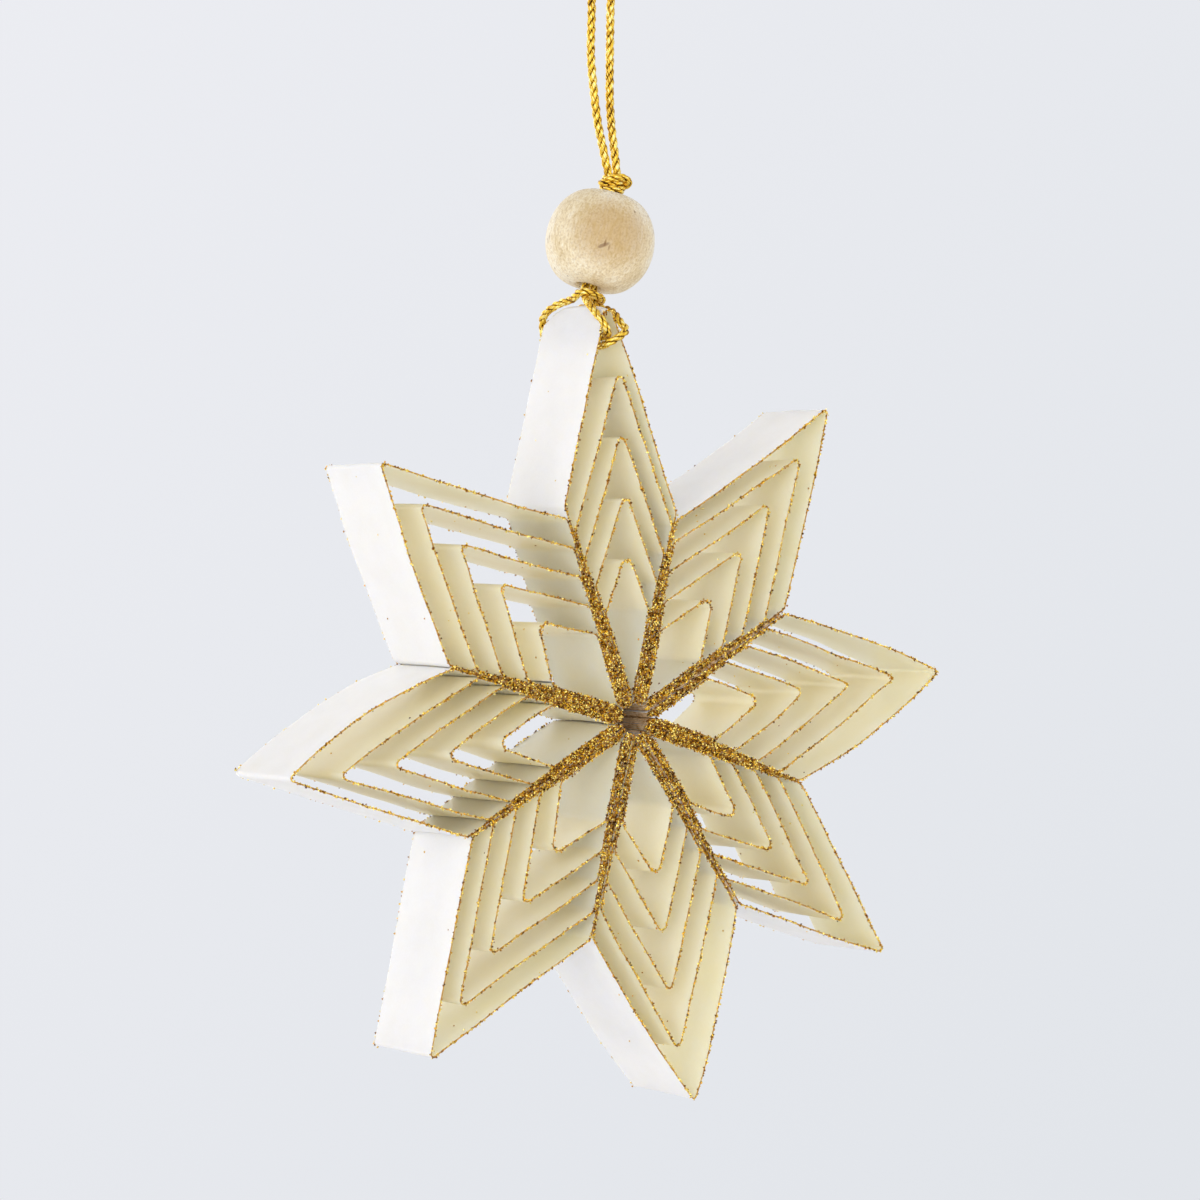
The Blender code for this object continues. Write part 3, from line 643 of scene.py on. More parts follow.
def turnBead():
    profile = beadProfile()
    count = len(profile)
    tilt = Matrix.Rotation(math.radians(bead["tilt"]), 3, "Y")
    centre = beadCentre()
    picker = random.Random(bead["seed"])
    waves = [
        (picker.randint(2, 5), picker.uniform(0, math.tau), picker.uniform(-2.0, 2.0))
        for _ in range(bead["waves"])]
    vertices = []
    for segment in range(bead["segments"]):
        angle = math.tau * segment / bead["segments"]
        for across, up in profile:
            # sanding leaves it slightly uneven outside the bore
            outside = max(0.0, across / (bead["diameter"] / 2) - 0.4)
            wave = sum(
                math.cos(turns * angle + shift + climb * up / bead["waveClimb"])
                for turns, shift, climb in waves)
            reach = across + bead["unevenness"] * outside * wave / 2
            vertices.append(centre + tilt @ Vector((reach * math.cos(angle), reach * math.sin(angle), up)))
    faces = []
    for segment in range(bead["segments"]):
        here, there = segment * count, (segment + 1) % bead["segments"] * count
        for ring in range(count):
            above = (ring + 1) % count
            faces.append((here + ring, here + above, there + above, there + ring))
    mesh = bpy.data.meshes.new("bead_turned")
    mesh.from_pydata(vertices, [], faces)
    mesh.shade_smooth()
    mesh.materials.append(makeBeadMaterial())
    return mesh


addPiece("bead_turned", turnBead(), "bead", "bead_wood", "wooden_bead")
print("bead: turned")


# Knot on the bead

knot = {
    "place": (0.00191, 0.00015, -0.03486),
    "pathStep": 0.0002,
    # its turns in millimetres about that place: low round the bead, then the middle, then the lobe
    "route": (
        (-1.00, 0.70, -0.60), (-1.10, -0.25, -0.80), (-0.50, -1.00, -0.95), (0.35, -1.15, -1.00),
        (1.00, -0.60, -0.75), (1.10, 0.35, -0.55), (0.40, 1.05, -0.35), (-0.55, 1.10, -0.15),
        (-1.30, 0.80, 0.00), (-1.40, 0.00, -0.05), (-0.60, -0.25, -0.10), (0.20, -0.45, -0.15),
        (0.75, -0.65, 0.10), (1.00, 0.05, 0.30), (0.50, 0.90, 0.40), (-0.40, 1.00, 0.50),
        (-0.95, 0.55, 0.60), (-0.95, -0.30, 0.65), (-0.35, -1.00, 0.70), (0.60, -1.25, 0.70),
        (1.40, -1.25, 0.50), (1.75, -1.10, 0.00), (1.50, -0.55, -0.25), (1.25, 0.60, -0.25),
        (0.55, 1.30, -0.60), (-0.45, 1.20, -0.65),
    ),
}


def knotPoints():
    place = Vector(knot["place"])
    points = [place + Vector(point) * millimetre for point in knot["route"]]
    # smoothed over its start as well, so that it closes without a kink
    wrapped = points[-3:] + points + points[:3]
    curve = smoothRoute(wrapped, knot["pathStep"])
    first = min(range(len(curve) // 2), key=lambda index: (curve[index] - points[0]).length)
    last = min(range(len(curve) // 2, len(curve)), key=lambda index: (curve[index] - points[0]).length)
    return curve[first:last]


addPiece("cord_knot", layCord("cord_knot", knotPoints(), closed=True), "hitch", "gold_cord", "hanging_knot")
print("knot: tied")


# Paper strips

star = {
    "stripWidth": 0.0140,
    "paperThickness": 0.0002,
    "glueLine": 0.00006,  # between two strips of a petal, along a spoke
    "stripsPerPetal": 5,
    "tipStep": 0.0082,  # from one fold to the next, along the petal
    "spokeStep": 0.0041,  # from one leaving point to the next, along the spoke
    "bendRadius": 0.0012,  # where a strip leaves its spoke
    "foldRadii": (0.0004, 0.0006, 0.0006, 0.0007, 0.0010),  # outermost strip first
    "middleCrushRadius": 0.00045,  # the hanging tip is sharp in the middle of its depth
    "frontCrushRadius": 0.0008,  # and pressed round at its edges
    "backCrushRadius": 0.0013,
    "nestedBow": 0.2,  # of the outermost strip's bow
    "petalReach": 0.0544,  # from the hub to an outermost fold
    "spokeLength": 0.0304,  # from the hub to a valley
    "tilt": -6.0,  # degrees, the top petal leans to the left
    "hubRadius": 0.0021,  # no strip starts nearer the hub
    "rootRadius": 0.0030,  # where a spoke's straight line is aimed from
    "endClearance": 0.0002,  # between the two ends of a strip
    "bendSteps": 6,
    "foldSteps": 10,
    "wallSteps": 14,
    "spokeSteps": 12,
    "rows": 9,  # of points across the paper's width
    "creaseAngle": 50.0,  # degrees, smaller turns are shaded smooth
    "waveHeight": 0.00016,  # uneven by this much either way
    "waveSize": 0.009,  # from one wave to the next
    "slip": 0.00018,  # a strip stands this much further forward or back
    "seed": 7,
    # painted light: the whiter copy of the paper is for the full light on the outermost outside faces, the
    # creamier one for the warm light bounced inside the chambers
    "whiteLitTones": ((0.35, "#F4F3EF"), (0.65, "#FAFAF8")),
    "creamBouncedTones": ((0.35, "#F9EDCE"), (0.65, "#FDF3DA")),
    "cloudSize": 0.006,  # faint patches in the card
    "pulpSize": 0.00035,  # flecks of pulp
    "dustSize": 0.0004,  # patches of glue and gold dust by the edges
    "dustTone": "#A8792A",
    "edgePatch": 0.0007,
    "edgeTones": ((0.34, "#DDBD78"), (0.46, "#C08E30"), (0.75, "#9C6C1E")),
    "gluePatch": 0.0008,
    "glueTones": ((0.35, "#A67C4C"), (0.65, "#DCC09A")),
}
# name, turn and outer turn in degrees, further reach, nested further, bow before and after
petals = (
    ("top", 3.0, -1.2, 0.0020, -0.0018, 0.0000, 0.0001),
    ("upper_right", -0.2, -0.4, -0.0008, -0.0005, -0.0004, 0.0002),
    ("right", 0.8, 0.1, -0.0012, 0.0000, 0.0006, 0.0013),
    ("lower_right", 0.6, -0.4, 0.0006, -0.0005, 0.0003, 0.0001),
    ("bottom", -2.4, -2.0, -0.0009, 0.0005, 0.0007, 0.0006),
    ("lower_left", -1.1, -0.3, 0.0002, 0.0000, 0.0000, 0.0001),
    ("left", -1.0, 0.9, 0.0000, 0.0004, 0.0001, 0.0015),
    ("upper_left", 1.6, 0.1, -0.0015, 0.0000, 0.0004, -0.0002),
)
# far turn and root turn in degrees, seam, then where the strips of the petal before and of the petal
# after leave it, each as (further, nested further)
spokes = (
    (-2.0, -2.0, 0.00008, (-0.0017, 0.0023), (-0.0026, 0.0010)),
    (0.0, 1.0, 0.00040, (-0.0009, 0.0001), (-0.0013, 0.0004)),
    (3.0, 5.0, 0.00008, (-0.0007, 0.0005), (-0.0005, 0.0003)),
    (-4.5, 3.0, 0.00025, (0.0012, -0.0001), (0.0014, -0.0019)),
    (-2.0, 3.0, 0.00025, (-0.0002, 0.0004), (0.0002, 0.0003)),
    (0.0, 1.0, 0.00008, (0.0001, 0.0004), (0.0005, 0.0004)),
    (-1.5, -5.0, 0.00008, (-0.0001, 0.0000), (0.0007, -0.0004)),
    (6.5, -5.0, 0.00008, (-0.0010, 0.0000), (0.0008, 0.0003)),
)


def onCircle(radius, degrees):
    angle = math.radians(degrees)
    return Vector((radius * math.sin(angle), radius * math.cos(angle)))


def evenAngle(index, between=0.0):
    return star["tilt"] + 360.0 / len(petals) * (index + between)


class Spoke:
    # a glued spoke: a straight line from near the hub to the valley between two petals
    def __init__(self, index):
        spoke = spokes[index % len(spokes)]
        farTurn, rootTurn, self.seam, self.petalBefore, self.petalAfter = spoke
        even = evenAngle(index % len(spokes), between=0.5)
        self.root = onCircle(star["rootRadius"], even + rootTurn)
        self.along = (onCircle(star["spokeLength"], even + farTurn) - self.root).normalized()
        self.clockwise = Vector((self.along.y, -self.along.x))

    def point(self, distance, aside):
        return self.root + self.along * (distance - star["rootRadius"]) + self.clockwise * aside


def leavingDistance(petalSide, layer):
    further, nested = petalSide
    return star["spokeLength"] + further - layer * star["spokeStep"] + (nested if layer else 0.0)


def layerOffset(spoke, layer):
    return spoke.seam / 2 + star["paperThickness"] / 2 + layer * (star["paperThickness"] + star["glueLine"])


def startDistances(before, after, layer):
    # how near the hub the two ends of a strip start without meeting
    innerFace = star["paperThickness"] / 2 + star["endClearance"] / 2
    left = before.point(0.0, layerOffset(before, layer) + innerFace)
    right = after.point(0.0, -layerOffset(after, layer) - innerFace)
    gap = right - left
    turn = before.along.cross(after.along)
    onLeft = gap.cross(after.along) / turn
    onRight = gap.cross(before.along) / turn
    return max(star["hubRadius"], onLeft), max(star["hubRadius"], onRight)


def bowed(start, end, bow):
    run = end - start
    outward = Vector((-run.y, run.x)).normalized()
    points = []
    for step in range(1, star["wallSteps"] + 1):
        share = step / (star["wallSteps"] + 1)
        points.append(start + run * share + outward * (4 * bow * share * (1 - share)))
    return points


def cornerCut(before, corner, after, radius):
    turn = (corner - before).angle(after - corner)
    return radius * math.tan(turn / 2)


def roundedCorner(before, corner, after, radius, steps):
    arriving = (corner - before).normalized()
    leaving = (after - corner).normalized()
    turn = arriving.angle(leaving)
    cut = cornerCut(before, corner, after, radius)
    side = -1.0 if arriving.cross(leaving) < 0 else 1.0
    centre = corner - arriving * cut + Vector((-arriving.y, arriving.x)) * side * radius
    arm = corner - arriving * cut - centre
    return [centre + Matrix.Rotation(side * turn * step / steps, 2) @ arm for step in range(steps + 1)]


def foldCorner(before, tip, after, radius):
    # where the walls would meet, so that the rounded fold reaches the tip
    half = (before - tip).angle(after - tip) / 2
    return tip + tip.normalized() * (radius / math.sin(half) - radius)


def beyond(points, corner, cut):
    # the points of a wall that stay clear of its rounded end
    return [point for point in points if (point - corner).length > cut * 1.05]


def alongSpoke(start, end):
    return [start.lerp(end, step / star["spokeSteps"]) for step in range(star["spokeSteps"])]


def stripPath(petal, layer, fold, widestFold):
    # the strip's middle line about the hub, clockwise, as (point, share glued, share folded)
    turn, outerTurn, further, nested, bowBefore, bowAfter = petals[petal][1:]
    before = Spoke(petal - 1)
    after = Spoke(petal)
    leftAside = layerOffset(before, layer)
    rightAside = -layerOffset(after, layer)
    leftStart, rightStart = startDistances(before, after, layer)
    leftCorner = before.point(leavingDistance(before.petalAfter, layer), leftAside)
    rightCorner = after.point(leavingDistance(after.petalBefore, layer), rightAside)
    direction = evenAngle(petal) + turn + (0.0 if layer else outerTurn)
    reach = star["petalReach"] + further - layer * star["tipStep"] + (nested if layer else 0.0)
    tip = foldCorner(leftCorner, onCircle(reach, direction), rightCorner, star["foldRadii"][layer])
    bowShare = star["nestedBow"] if layer else 1.0
    leftWall = bowed(leftCorner, tip, bowBefore * bowShare)
    rightWall = bowed(tip, rightCorner, bowAfter * bowShare)
    leftEnd = before.point(leftStart, leftAside)
    rightEnd = after.point(rightStart, rightAside)
    cut = cornerCut(leftWall[-1], tip, rightWall[0], widestFold)
    bend = star["bendSteps"]
    leftBend = roundedCorner(leftEnd, leftCorner, leftWall[0], star["bendRadius"], bend)
    rightBend = roundedCorner(rightWall[-1], rightCorner, rightEnd, star["bendRadius"], bend)
    crest = roundedCorner(leftWall[-1], tip, rightWall[0], fold, star["foldSteps"])
    path = [(point, 1.0, 0.0) for point in alongSpoke(leftEnd, leftBend[0])]
    path += [(point, 1.0 - step / bend, 0.5) for step, point in enumerate(leftBend)]
    path += [(point, 0.0, 0.0) for point in beyond(leftWall, tip, cut)]
    path += [(point, 0.0, 1.0) for point in crest]
    path += [(point, 0.0, 0.0) for point in beyond(rightWall, tip, cut)]
    path += [(point, step / bend, 0.5) for step, point in enumerate(rightBend)]
    path += [(point, 1.0, 0.0) for point in reversed(alongSpoke(rightEnd, rightBend[-1]))]
    return path


def makeStripTree():
    # a strip from its middle line: as wide as the paper, slightly uneven, with its thickness
    tree, handles, given = startTree("paperStrip", {
        "Width": "Float", "Thickness": "Float", "Rows": "Int", "Slip": "Float", "Front Share": "Float",
        "Wave Height": "Float", "Wave Size": "Float", "Crease Angle": "Float", "Outside": "Material",
        "Inside": "Material", "Cut Edge": "Material", "End": "Material"})
    line = given["Geometry"]
    size = addNode(tree, "GeometryNodeAttributeDomainSize", {"component": "MESH"}, {"Geometry": line})
    count = size.outputs["Point Count"]
    sheet = addNode(tree, "GeometryNodeMeshGrid", links={
        "Size X": 1.0, "Size Y": 1.0, "Vertices X": count, "Vertices Y": given["Rows"]})
    place = addNode(tree, "ShaderNodeSeparateXYZ", links={0: addNode(tree, "GeometryNodeInputPosition")})
    last = addNode(tree, "ShaderNodeMath", {"operation": "SUBTRACT"}, {0: count, 1: 1.0})
    along = addNode(tree, "ShaderNodeMath", {"operation": "ADD"}, {0: place.outputs["X"], 1: 0.5})
    along = addNode(tree, "ShaderNodeMath", {"operation": "MULTIPLY"}, {0: along, 1: last})
    index = addNode(tree, "ShaderNodeMath", {"operation": "ROUND"}, {0: along})
    across = addNode(tree, "ShaderNodeMath", {"operation": "MULTIPLY"}, {0: place.outputs["Y"], 1: 2.0})
    # what the line carries goes onto the sheet before the sheet takes its shape
    dataTypes = {"position": "FLOAT_VECTOR", "pressed": "FLOAT_VECTOR", "glued": "FLOAT", "folded": "FLOAT"}
    carried = {}
    for name, dataType in dataTypes.items():
        value = addNode(tree, "GeometryNodeInputNamedAttribute", {"data_type": dataType}, {"Name": name})
        carried[name] = addNode(tree, "GeometryNodeSampleIndex", {"data_type": dataType, "domain": "POINT"}, {
            "Geometry": line, "Value": value, "Index": index})
    for name, value in (("glued", carried["glued"]), ("folded", carried["folded"]), ("across", across)):
        sheet = addNode(tree, "GeometryNodeStoreNamedAttribute", {"data_type": "FLOAT", "domain": "POINT"}, {
            "Geometry": sheet, "Name": name, "Value": value})
    # the fold is pressed by the cube of the way from the middle to an edge, less at the front
    depthShare = addNode(tree, "ShaderNodeMath", {"operation": "ABSOLUTE"}, {0: across})
    cubed = addNode(tree, "ShaderNodeMath", {"operation": "POWER"}, {0: depthShare, 1: 3.0})
    atFront = addNode(tree, "ShaderNodeMath", {"operation": "LESS_THAN"}, {0: across, 1: 0.0})
    edgeShare = addNode(tree, "ShaderNodeMapRange", links={
        "Value": atFront, "To Min": 1.0, "To Max": given["Front Share"]})
    edgeShare = addNode(tree, "ShaderNodeMath", {"operation": "MULTIPLY"}, {0: cubed, 1: edgeShare})
    pressed = addNode(tree, "ShaderNodeVectorMath", {"operation": "SCALE"}, {
        0: carried["pressed"], "Scale": edgeShare})
    half = addNode(tree, "ShaderNodeMath", {"operation": "MULTIPLY"}, {0: given["Width"], 1: 0.5})
    depth = addNode(tree, "ShaderNodeMath", {"operation": "MULTIPLY_ADD"}, {
        0: across, 1: half, 2: given["Slip"]})
    depth = addNode(tree, "ShaderNodeCombineXYZ", links={"Y": depth})
    shaped = addNode(tree, "ShaderNodeVectorMath", {"operation": "ADD"}, {
        0: carried["position"], 1: pressed})
    shaped = addNode(tree, "ShaderNodeVectorMath", {"operation": "ADD"}, {0: shaped, 1: depth})
    sheet = addNode(tree, "GeometryNodeSetPosition", links={"Geometry": sheet, "Position": shaped})
    # one field of waves moves every strip, so glued strips stay on each other
    spread = addNode(tree, "ShaderNodeVectorMath", {"operation": "MULTIPLY"}, {
        0: addNode(tree, "GeometryNodeInputPosition"), 1: (1.0, 0.6, 1.0)})
    toWaves = addNode(tree, "ShaderNodeMath", {"operation": "DIVIDE"}, {0: 1.0, 1: given["Wave Size"]})
    waves = addNode(tree, "ShaderNodeTexNoise", links={"Vector": spread, "Scale": toWaves, "Detail": 1.0})
    waves = addNode(tree, "ShaderNodeVectorMath", {"operation": "SUBTRACT"}, {
        0: waves.outputs["Color"], 1: (0.5, 0.5, 0.5)})
    waves = addNode(tree, "ShaderNodeVectorMath", {"operation": "MULTIPLY"}, {0: waves, 1: (4.0, 0.0, 4.0)})
    waves = addNode(tree, "ShaderNodeVectorMath", {"operation": "SCALE"}, {
        0: waves, "Scale": given["Wave Height"]})
    sheet = addNode(tree, "GeometryNodeSetPosition", links={"Geometry": sheet, "Offset": waves})
    # thickness: half of it each way, then the rim between
    normal = addNode(tree, "GeometryNodeInputNormal")
    inward = addNode(tree, "ShaderNodeMath", {"operation": "MULTIPLY"}, {0: given["Thickness"], 1: -0.5})
    inward = addNode(tree, "ShaderNodeVectorMath", {"operation": "SCALE"}, {0: normal, "Scale": inward})
    inner = addNode(tree, "GeometryNodeSetPosition", links={"Geometry": sheet, "Offset": inward})
    outer = addNode(tree, "GeometryNodeExtrudeMesh", {"mode": "FACES"}, {
        "Mesh": inner, "Offset Scale": given["Thickness"], "Individual": False})
    outerFaces = addNode(tree, "GeometryNodeStoreNamedAttribute", {"data_type": "FLOAT", "domain": "FACE"}, {
        "Geometry": outer, "Name": "side", "Value": 1.0, "Selection": outer.outputs["Top"]})
    inner = addNode(tree, "GeometryNodeFlipFaces", links={"Mesh": inner})
    inner = addNode(tree, "GeometryNodeStoreNamedAttribute", {"data_type": "FLOAT", "domain": "FACE"}, {
        "Geometry": inner, "Name": "side", "Value": -1.0})
    whole = addNode(tree, "GeometryNodeJoinGeometry")
    tree.links.new(outerFaces.outputs[0], whole.inputs[0])
    tree.links.new(inner.outputs[0], whole.inputs[0])
    whole = addNode(tree, "GeometryNodeMergeByDistance", links={"Geometry": whole, "Distance": 0.000001})
    whole = addNode(tree, "GeometryNodeSetShadeSmooth", {"domain": "FACE"}, {
        "Geometry": whole, "Shade Smooth": True})
    angle = addNode(tree, "GeometryNodeInputMeshEdgeAngle").outputs["Unsigned Angle"]
    steep = addNode(tree, "FunctionNodeCompare", {"operation": "GREATER_THAN"}, {
        0: angle, 1: given["Crease Angle"]})
    whole = addNode(tree, "GeometryNodeSetShadeSmooth", {"domain": "EDGE"}, {
        "Geometry": whole, "Selection": steep, "Shade Smooth": False})
    side = addNode(tree, "GeometryNodeInputNamedAttribute", {"data_type": "FLOAT"}, {"Name": "side"})
    isOuter = addNode(tree, "FunctionNodeCompare", {"operation": "GREATER_THAN"}, {0: side, 1: 0.5})
    # the rim has no side: its long edges are cut card, and the strip's two ends, deep in the hub hole, take
    # the glue's brown as painted shade for that hole
    onSheet = addNode(tree, "ShaderNodeMath", {"operation": "ABSOLUTE"}, {0: side})
    lengthwise = addNode(tree, "ShaderNodeSeparateXYZ", links={0: addNode(tree, "GeometryNodeInputNormal")})
    lengthwise = addNode(tree, "ShaderNodeMath", {"operation": "ABSOLUTE"}, {0: lengthwise.outputs["Y"]})
    lengthwise = addNode(tree, "ShaderNodeMath", {"operation": "SUBTRACT"}, {0: lengthwise, 1: onSheet})
    isEdge = addNode(tree, "FunctionNodeCompare", {"operation": "GREATER_THAN"}, {0: lengthwise, 1: 0.7})
    isInner = addNode(tree, "FunctionNodeCompare", {"operation": "LESS_THAN"}, {0: side, 1: -0.5})
    endTree(tree, whole, [
        (given["End"], None), (given["Outside"], isOuter), (given["Inside"], isInner),
        (given["Cut Edge"], isEdge)])
    return tree, handles


def makePaperMaterial(name, stops, roughness, stain):
    # smooth card: even, faintly mottled by its pulp, and thin enough for light to come through
    material, tree, shader = startMaterial(name, {
        "Roughness": roughness, "Specular IOR Level": 0.4, "Subsurface Weight": 1.0,
        "Subsurface Radius": (1.0, 0.9, 0.7), "Subsurface Scale": 0.0007})
    place = addNode(tree, "ShaderNodeTexCoord").outputs["Object"]
    cloud = addNode(tree, "ShaderNodeTexNoise", links={
        "Vector": place, "Scale": 1 / star["cloudSize"], "Detail": 2.0})
    pulp = addNode(tree, "ShaderNodeTexNoise", links={
        "Vector": place, "Scale": 1 / star["pulpSize"], "Detail": 3.0, "Roughness": 0.65})
    tone = addNode(tree, "ShaderNodeMath", {"operation": "MULTIPLY"}, {0: cloud, 1: 0.65})
    tone = addNode(tree, "ShaderNodeMath", {"operation": "MULTIPLY_ADD"}, {0: pulp, 1: 0.35, 2: tone})
    ramp = addNode(tree, "ShaderNodeValToRGB", links={"Fac": tone})
    fillRamp(ramp, stops)
    # glue and gold dust in patches, within a third of a millimetre of the long edges
    across = addNode(tree, "ShaderNodeAttribute", {"attribute_name": "across"}).outputs["Fac"]
    near = addNode(tree, "ShaderNodeMath", {"operation": "ABSOLUTE"}, {0: across})
    near = addNode(tree, "ShaderNodeMapRange", links={
        "Value": near, "From Min": 0.955, "From Max": 1.0, "To Min": -0.42, "To Max": 0.14})
    dust = addNode(tree, "ShaderNodeTexNoise", links={
        "Vector": place, "Scale": 1 / star["dustSize"], "Detail": 2.0})
    dust = addNode(tree, "ShaderNodeMath", {"operation": "ADD"}, {0: dust, 1: near})
    dust = addNode(tree, "ShaderNodeMapRange", links={
        "Value": dust, "From Min": 0.52, "From Max": 0.60, "To Min": 0.0, "To Max": stain})
    card = addNode(tree, "ShaderNodeMix", {"data_type": "RGBA"}, {
        "Factor": dust, "A": ramp, "B": colour(star["dustTone"])})
    tree.links.new(socketOf(card.outputs, 0), shader.inputs["Base Color"])
    bump = addNode(tree, "ShaderNodeBump", links={"Height": pulp, "Distance": 0.000012, "Strength": 0.5})
    tree.links.new(bump.outputs["Normal"], shader.inputs["Normal"])
    return material


stripTree, stripHandles = makeStripTree()
# dried craft glue, brown where it has soaked up gold dust
driedGlue = makeMottled(
    "craft_glue_dried", {"Roughness": 0.6, "Specular IOR Level": 0.15}, star["gluePatch"], star["glueTones"])
# painted light: one paper in two copies, whiter where the full light falls outside, creamier for the light
# bounced inside the chambers
paperWhiteLit = makePaperMaterial("white_card_painted_full_light", star["whiteLitTones"], roughness=0.50, stain=0.5)
paperCreamBounced = makePaperMaterial("cream_card_painted_bounce", star["creamBouncedTones"], roughness=0.42, stain=0.6)
# the cut edge, bare card in places and soaked with glue on the spokes
cutEdge = makeMottled(
    "cut_card_edge", {"Roughness": 0.5}, star["edgePatch"], star["edgeTones"], attribute="glued")
hubPlace = Vector((0.0, 0.0, -tipDrop - star["petalReach"] - petals[0][3]))


def makeStrip(petal, layer, slip):
    name = f"{petals[petal][0]}_strip_{layer + 1}"
    hanging = petal == 0 and layer == 0
    middleFold = star["middleCrushRadius"] if hanging else star["foldRadii"][layer]
    edgeFold = star["backCrushRadius"] if hanging else middleFold
    frontShare = (star["frontCrushRadius"] - middleFold) / (edgeFold - middleFold) if hanging else 1.0
    middlePath = stripPath(petal, layer, middleFold, edgeFold)
    edgePath = stripPath(petal, layer, edgeFold, edgeFold)
    line = bpy.data.meshes.new(name + "_line")
    places = [Vector((point.x, 0.0, point.y)) + hubPlace for point, _, _ in middlePath]
    line.from_pydata(places, [(index, index + 1) for index in range(len(places) - 1)], [])
    pressed = []
    for (edge, _, _), (middle, _, _) in zip(edgePath, middlePath):
        pressed += [edge.x - middle.x, 0.0, edge.y - middle.y]
    line.attributes.new("pressed", "FLOAT_VECTOR", "POINT").data.foreach_set("vector", pressed)
    for share, column in (("glued", 1), ("folded", 2)):
        values = [row[column] for row in middlePath]
        line.attributes.new(share, "FLOAT", "POINT").data.foreach_set("value", values)
    return growMesh(name, line, stripTree, stripHandles, {
        "Width": star["stripWidth"], "Thickness": star["paperThickness"], "Rows": star["rows"],
        "Slip": slip, "Front Share": frontShare, "Wave Height": star["waveHeight"],
        "Wave Size": star["waveSize"], "Crease Angle": math.radians(star["creaseAngle"]),
        # painted light: whiter outside faces on the outermost strip, cream for the bounced light everywhere
        # else
        "Outside": paperCreamBounced if layer else paperWhiteLit, "Inside": paperCreamBounced, "Cut Edge": cutEdge,
        # painted shade: the strip ends in the hub hole take the glue's brown
        "End": driedGlue})


slips = random.Random(star["seed"])
strips = []
for petal, (petalName, *_) in enumerate(petals):
    for layer in range(star["stripsPerPetal"]):
        mesh = makeStrip(petal, layer, slips.uniform(-star["slip"], star["slip"]))
        slotName = "cream_paper" if layer else "white_paper"
        node = f"{petalName}_petal_strip_{layer + 1}"
        strips.append(addPiece(mesh.name, mesh, "star", slotName, node))
print(f"paper: {len(strips)} strips, {sum(len(strip.data.polygons) for strip in strips)} faces")


# Dried glue between the petals

glue = {
    "fill": 0.9,  # of the seam's width
    "recess": 0.0001,  # behind the edges of the paper, front and back
    "start": 0.0024,  # from the hub
    "end": 0.0010,  # short of the valley
}


def pourGlue():
    vertices, faces = [], []
    depth = star["stripWidth"] / 2 - glue["recess"]
    for index in range(len(spokes)):
        spoke = Spoke(index)
        valley = min(leavingDistance(spoke.petalBefore, 0), leavingDistance(spoke.petalAfter, 0))
        first = len(vertices)
        for distance in (glue["start"], valley - glue["end"]):
            for aside in (-spoke.seam * glue["fill"] / 2, spoke.seam * glue["fill"] / 2):
                place = spoke.point(distance, aside)
                for y in (-depth, depth):
                    vertices.append(hubPlace + Vector((place.x, y, place.y)))
        corners = ((0, 1, 3, 2), (4, 6, 7, 5), (0, 4, 5, 1), (2, 3, 7, 6), (0, 2, 6, 4), (1, 5, 7, 3))
        faces += [[first + corner for corner in face] for face in corners]
    mesh = bpy.data.meshes.new("glue_seams")
    mesh.from_pydata(vertices, [], faces)
    mesh.materials.append(driedGlue)
    return mesh


addPiece("glue_seams", pourGlue(), "star")
print("glue: poured")


# Glitter on the front and back edges

squareMetre = 1000000.0  # in square millimetres
glitter = {
    "density": 40.0,  # grains to a square millimetre of cut edge, where it is thick
    # piece, the way it faces, seed, and the share of that density on the free walls, in dashes
    "sides": (("glitter_front", -1.0, 21, 0.95), ("glitter_back", 1.0, 121, 0.15)),
    "grain": 0.00034,  # across
    "flatness": 0.80,  # of a grain's width, through it
    "stand": 0.00016,  # how far grains stand off the edge
    "spread": 0.00022,  # and to its sides, on the spokes
    "dashSize": 0.0016,  # of the dashes along a free wall
    "stray": 0.003,  # grains to a square millimetre of paper
    "glintClumpSize": 0.0009,  # painted light: grains in a clump get like tones, as if they catch the light together
    # painted glints and shade, from dark bronze to pale gold
    "tones": ((0.44, "#3C2206"), (0.64, "#86530B"), (0.78, "#C98C16"), (0.92, "#F8CC38"), (1.0, "#FFE986")),
}


def makeGlitterMaterial():
    # cut metallised film: each grain one tone, from pale gold to dark bronze, painted glints and painted
    # shade for the light each grain would catch
    material, tree, shader = startMaterial("gold_film_glitter_painted_glints", {"Metallic": 0.85, "Roughness": 0.24})
    tone = addNode(tree, "ShaderNodeAttribute", {"attribute_name": "grainGlintTone"}).outputs["Fac"]
    place = addNode(tree, "ShaderNodeTexCoord").outputs["Object"]
    # painted light: clumps of grains lighter or darker together
    glintClump = addNode(tree, "ShaderNodeTexNoise", links={
        "Vector": place, "Scale": 1 / glitter["glintClumpSize"], "Detail": 2.0})
    tone = addNode(tree, "ShaderNodeMath", {"operation": "MULTIPLY_ADD"}, {0: glintClump, 1: 0.9, 2: tone})
    ramp = addNode(tree, "ShaderNodeValToRGB", links={"Fac": tone})
    fillRamp(ramp, glitter["tones"])
    tree.links.new(ramp.outputs["Color"], shader.inputs["Base Color"])
    return material


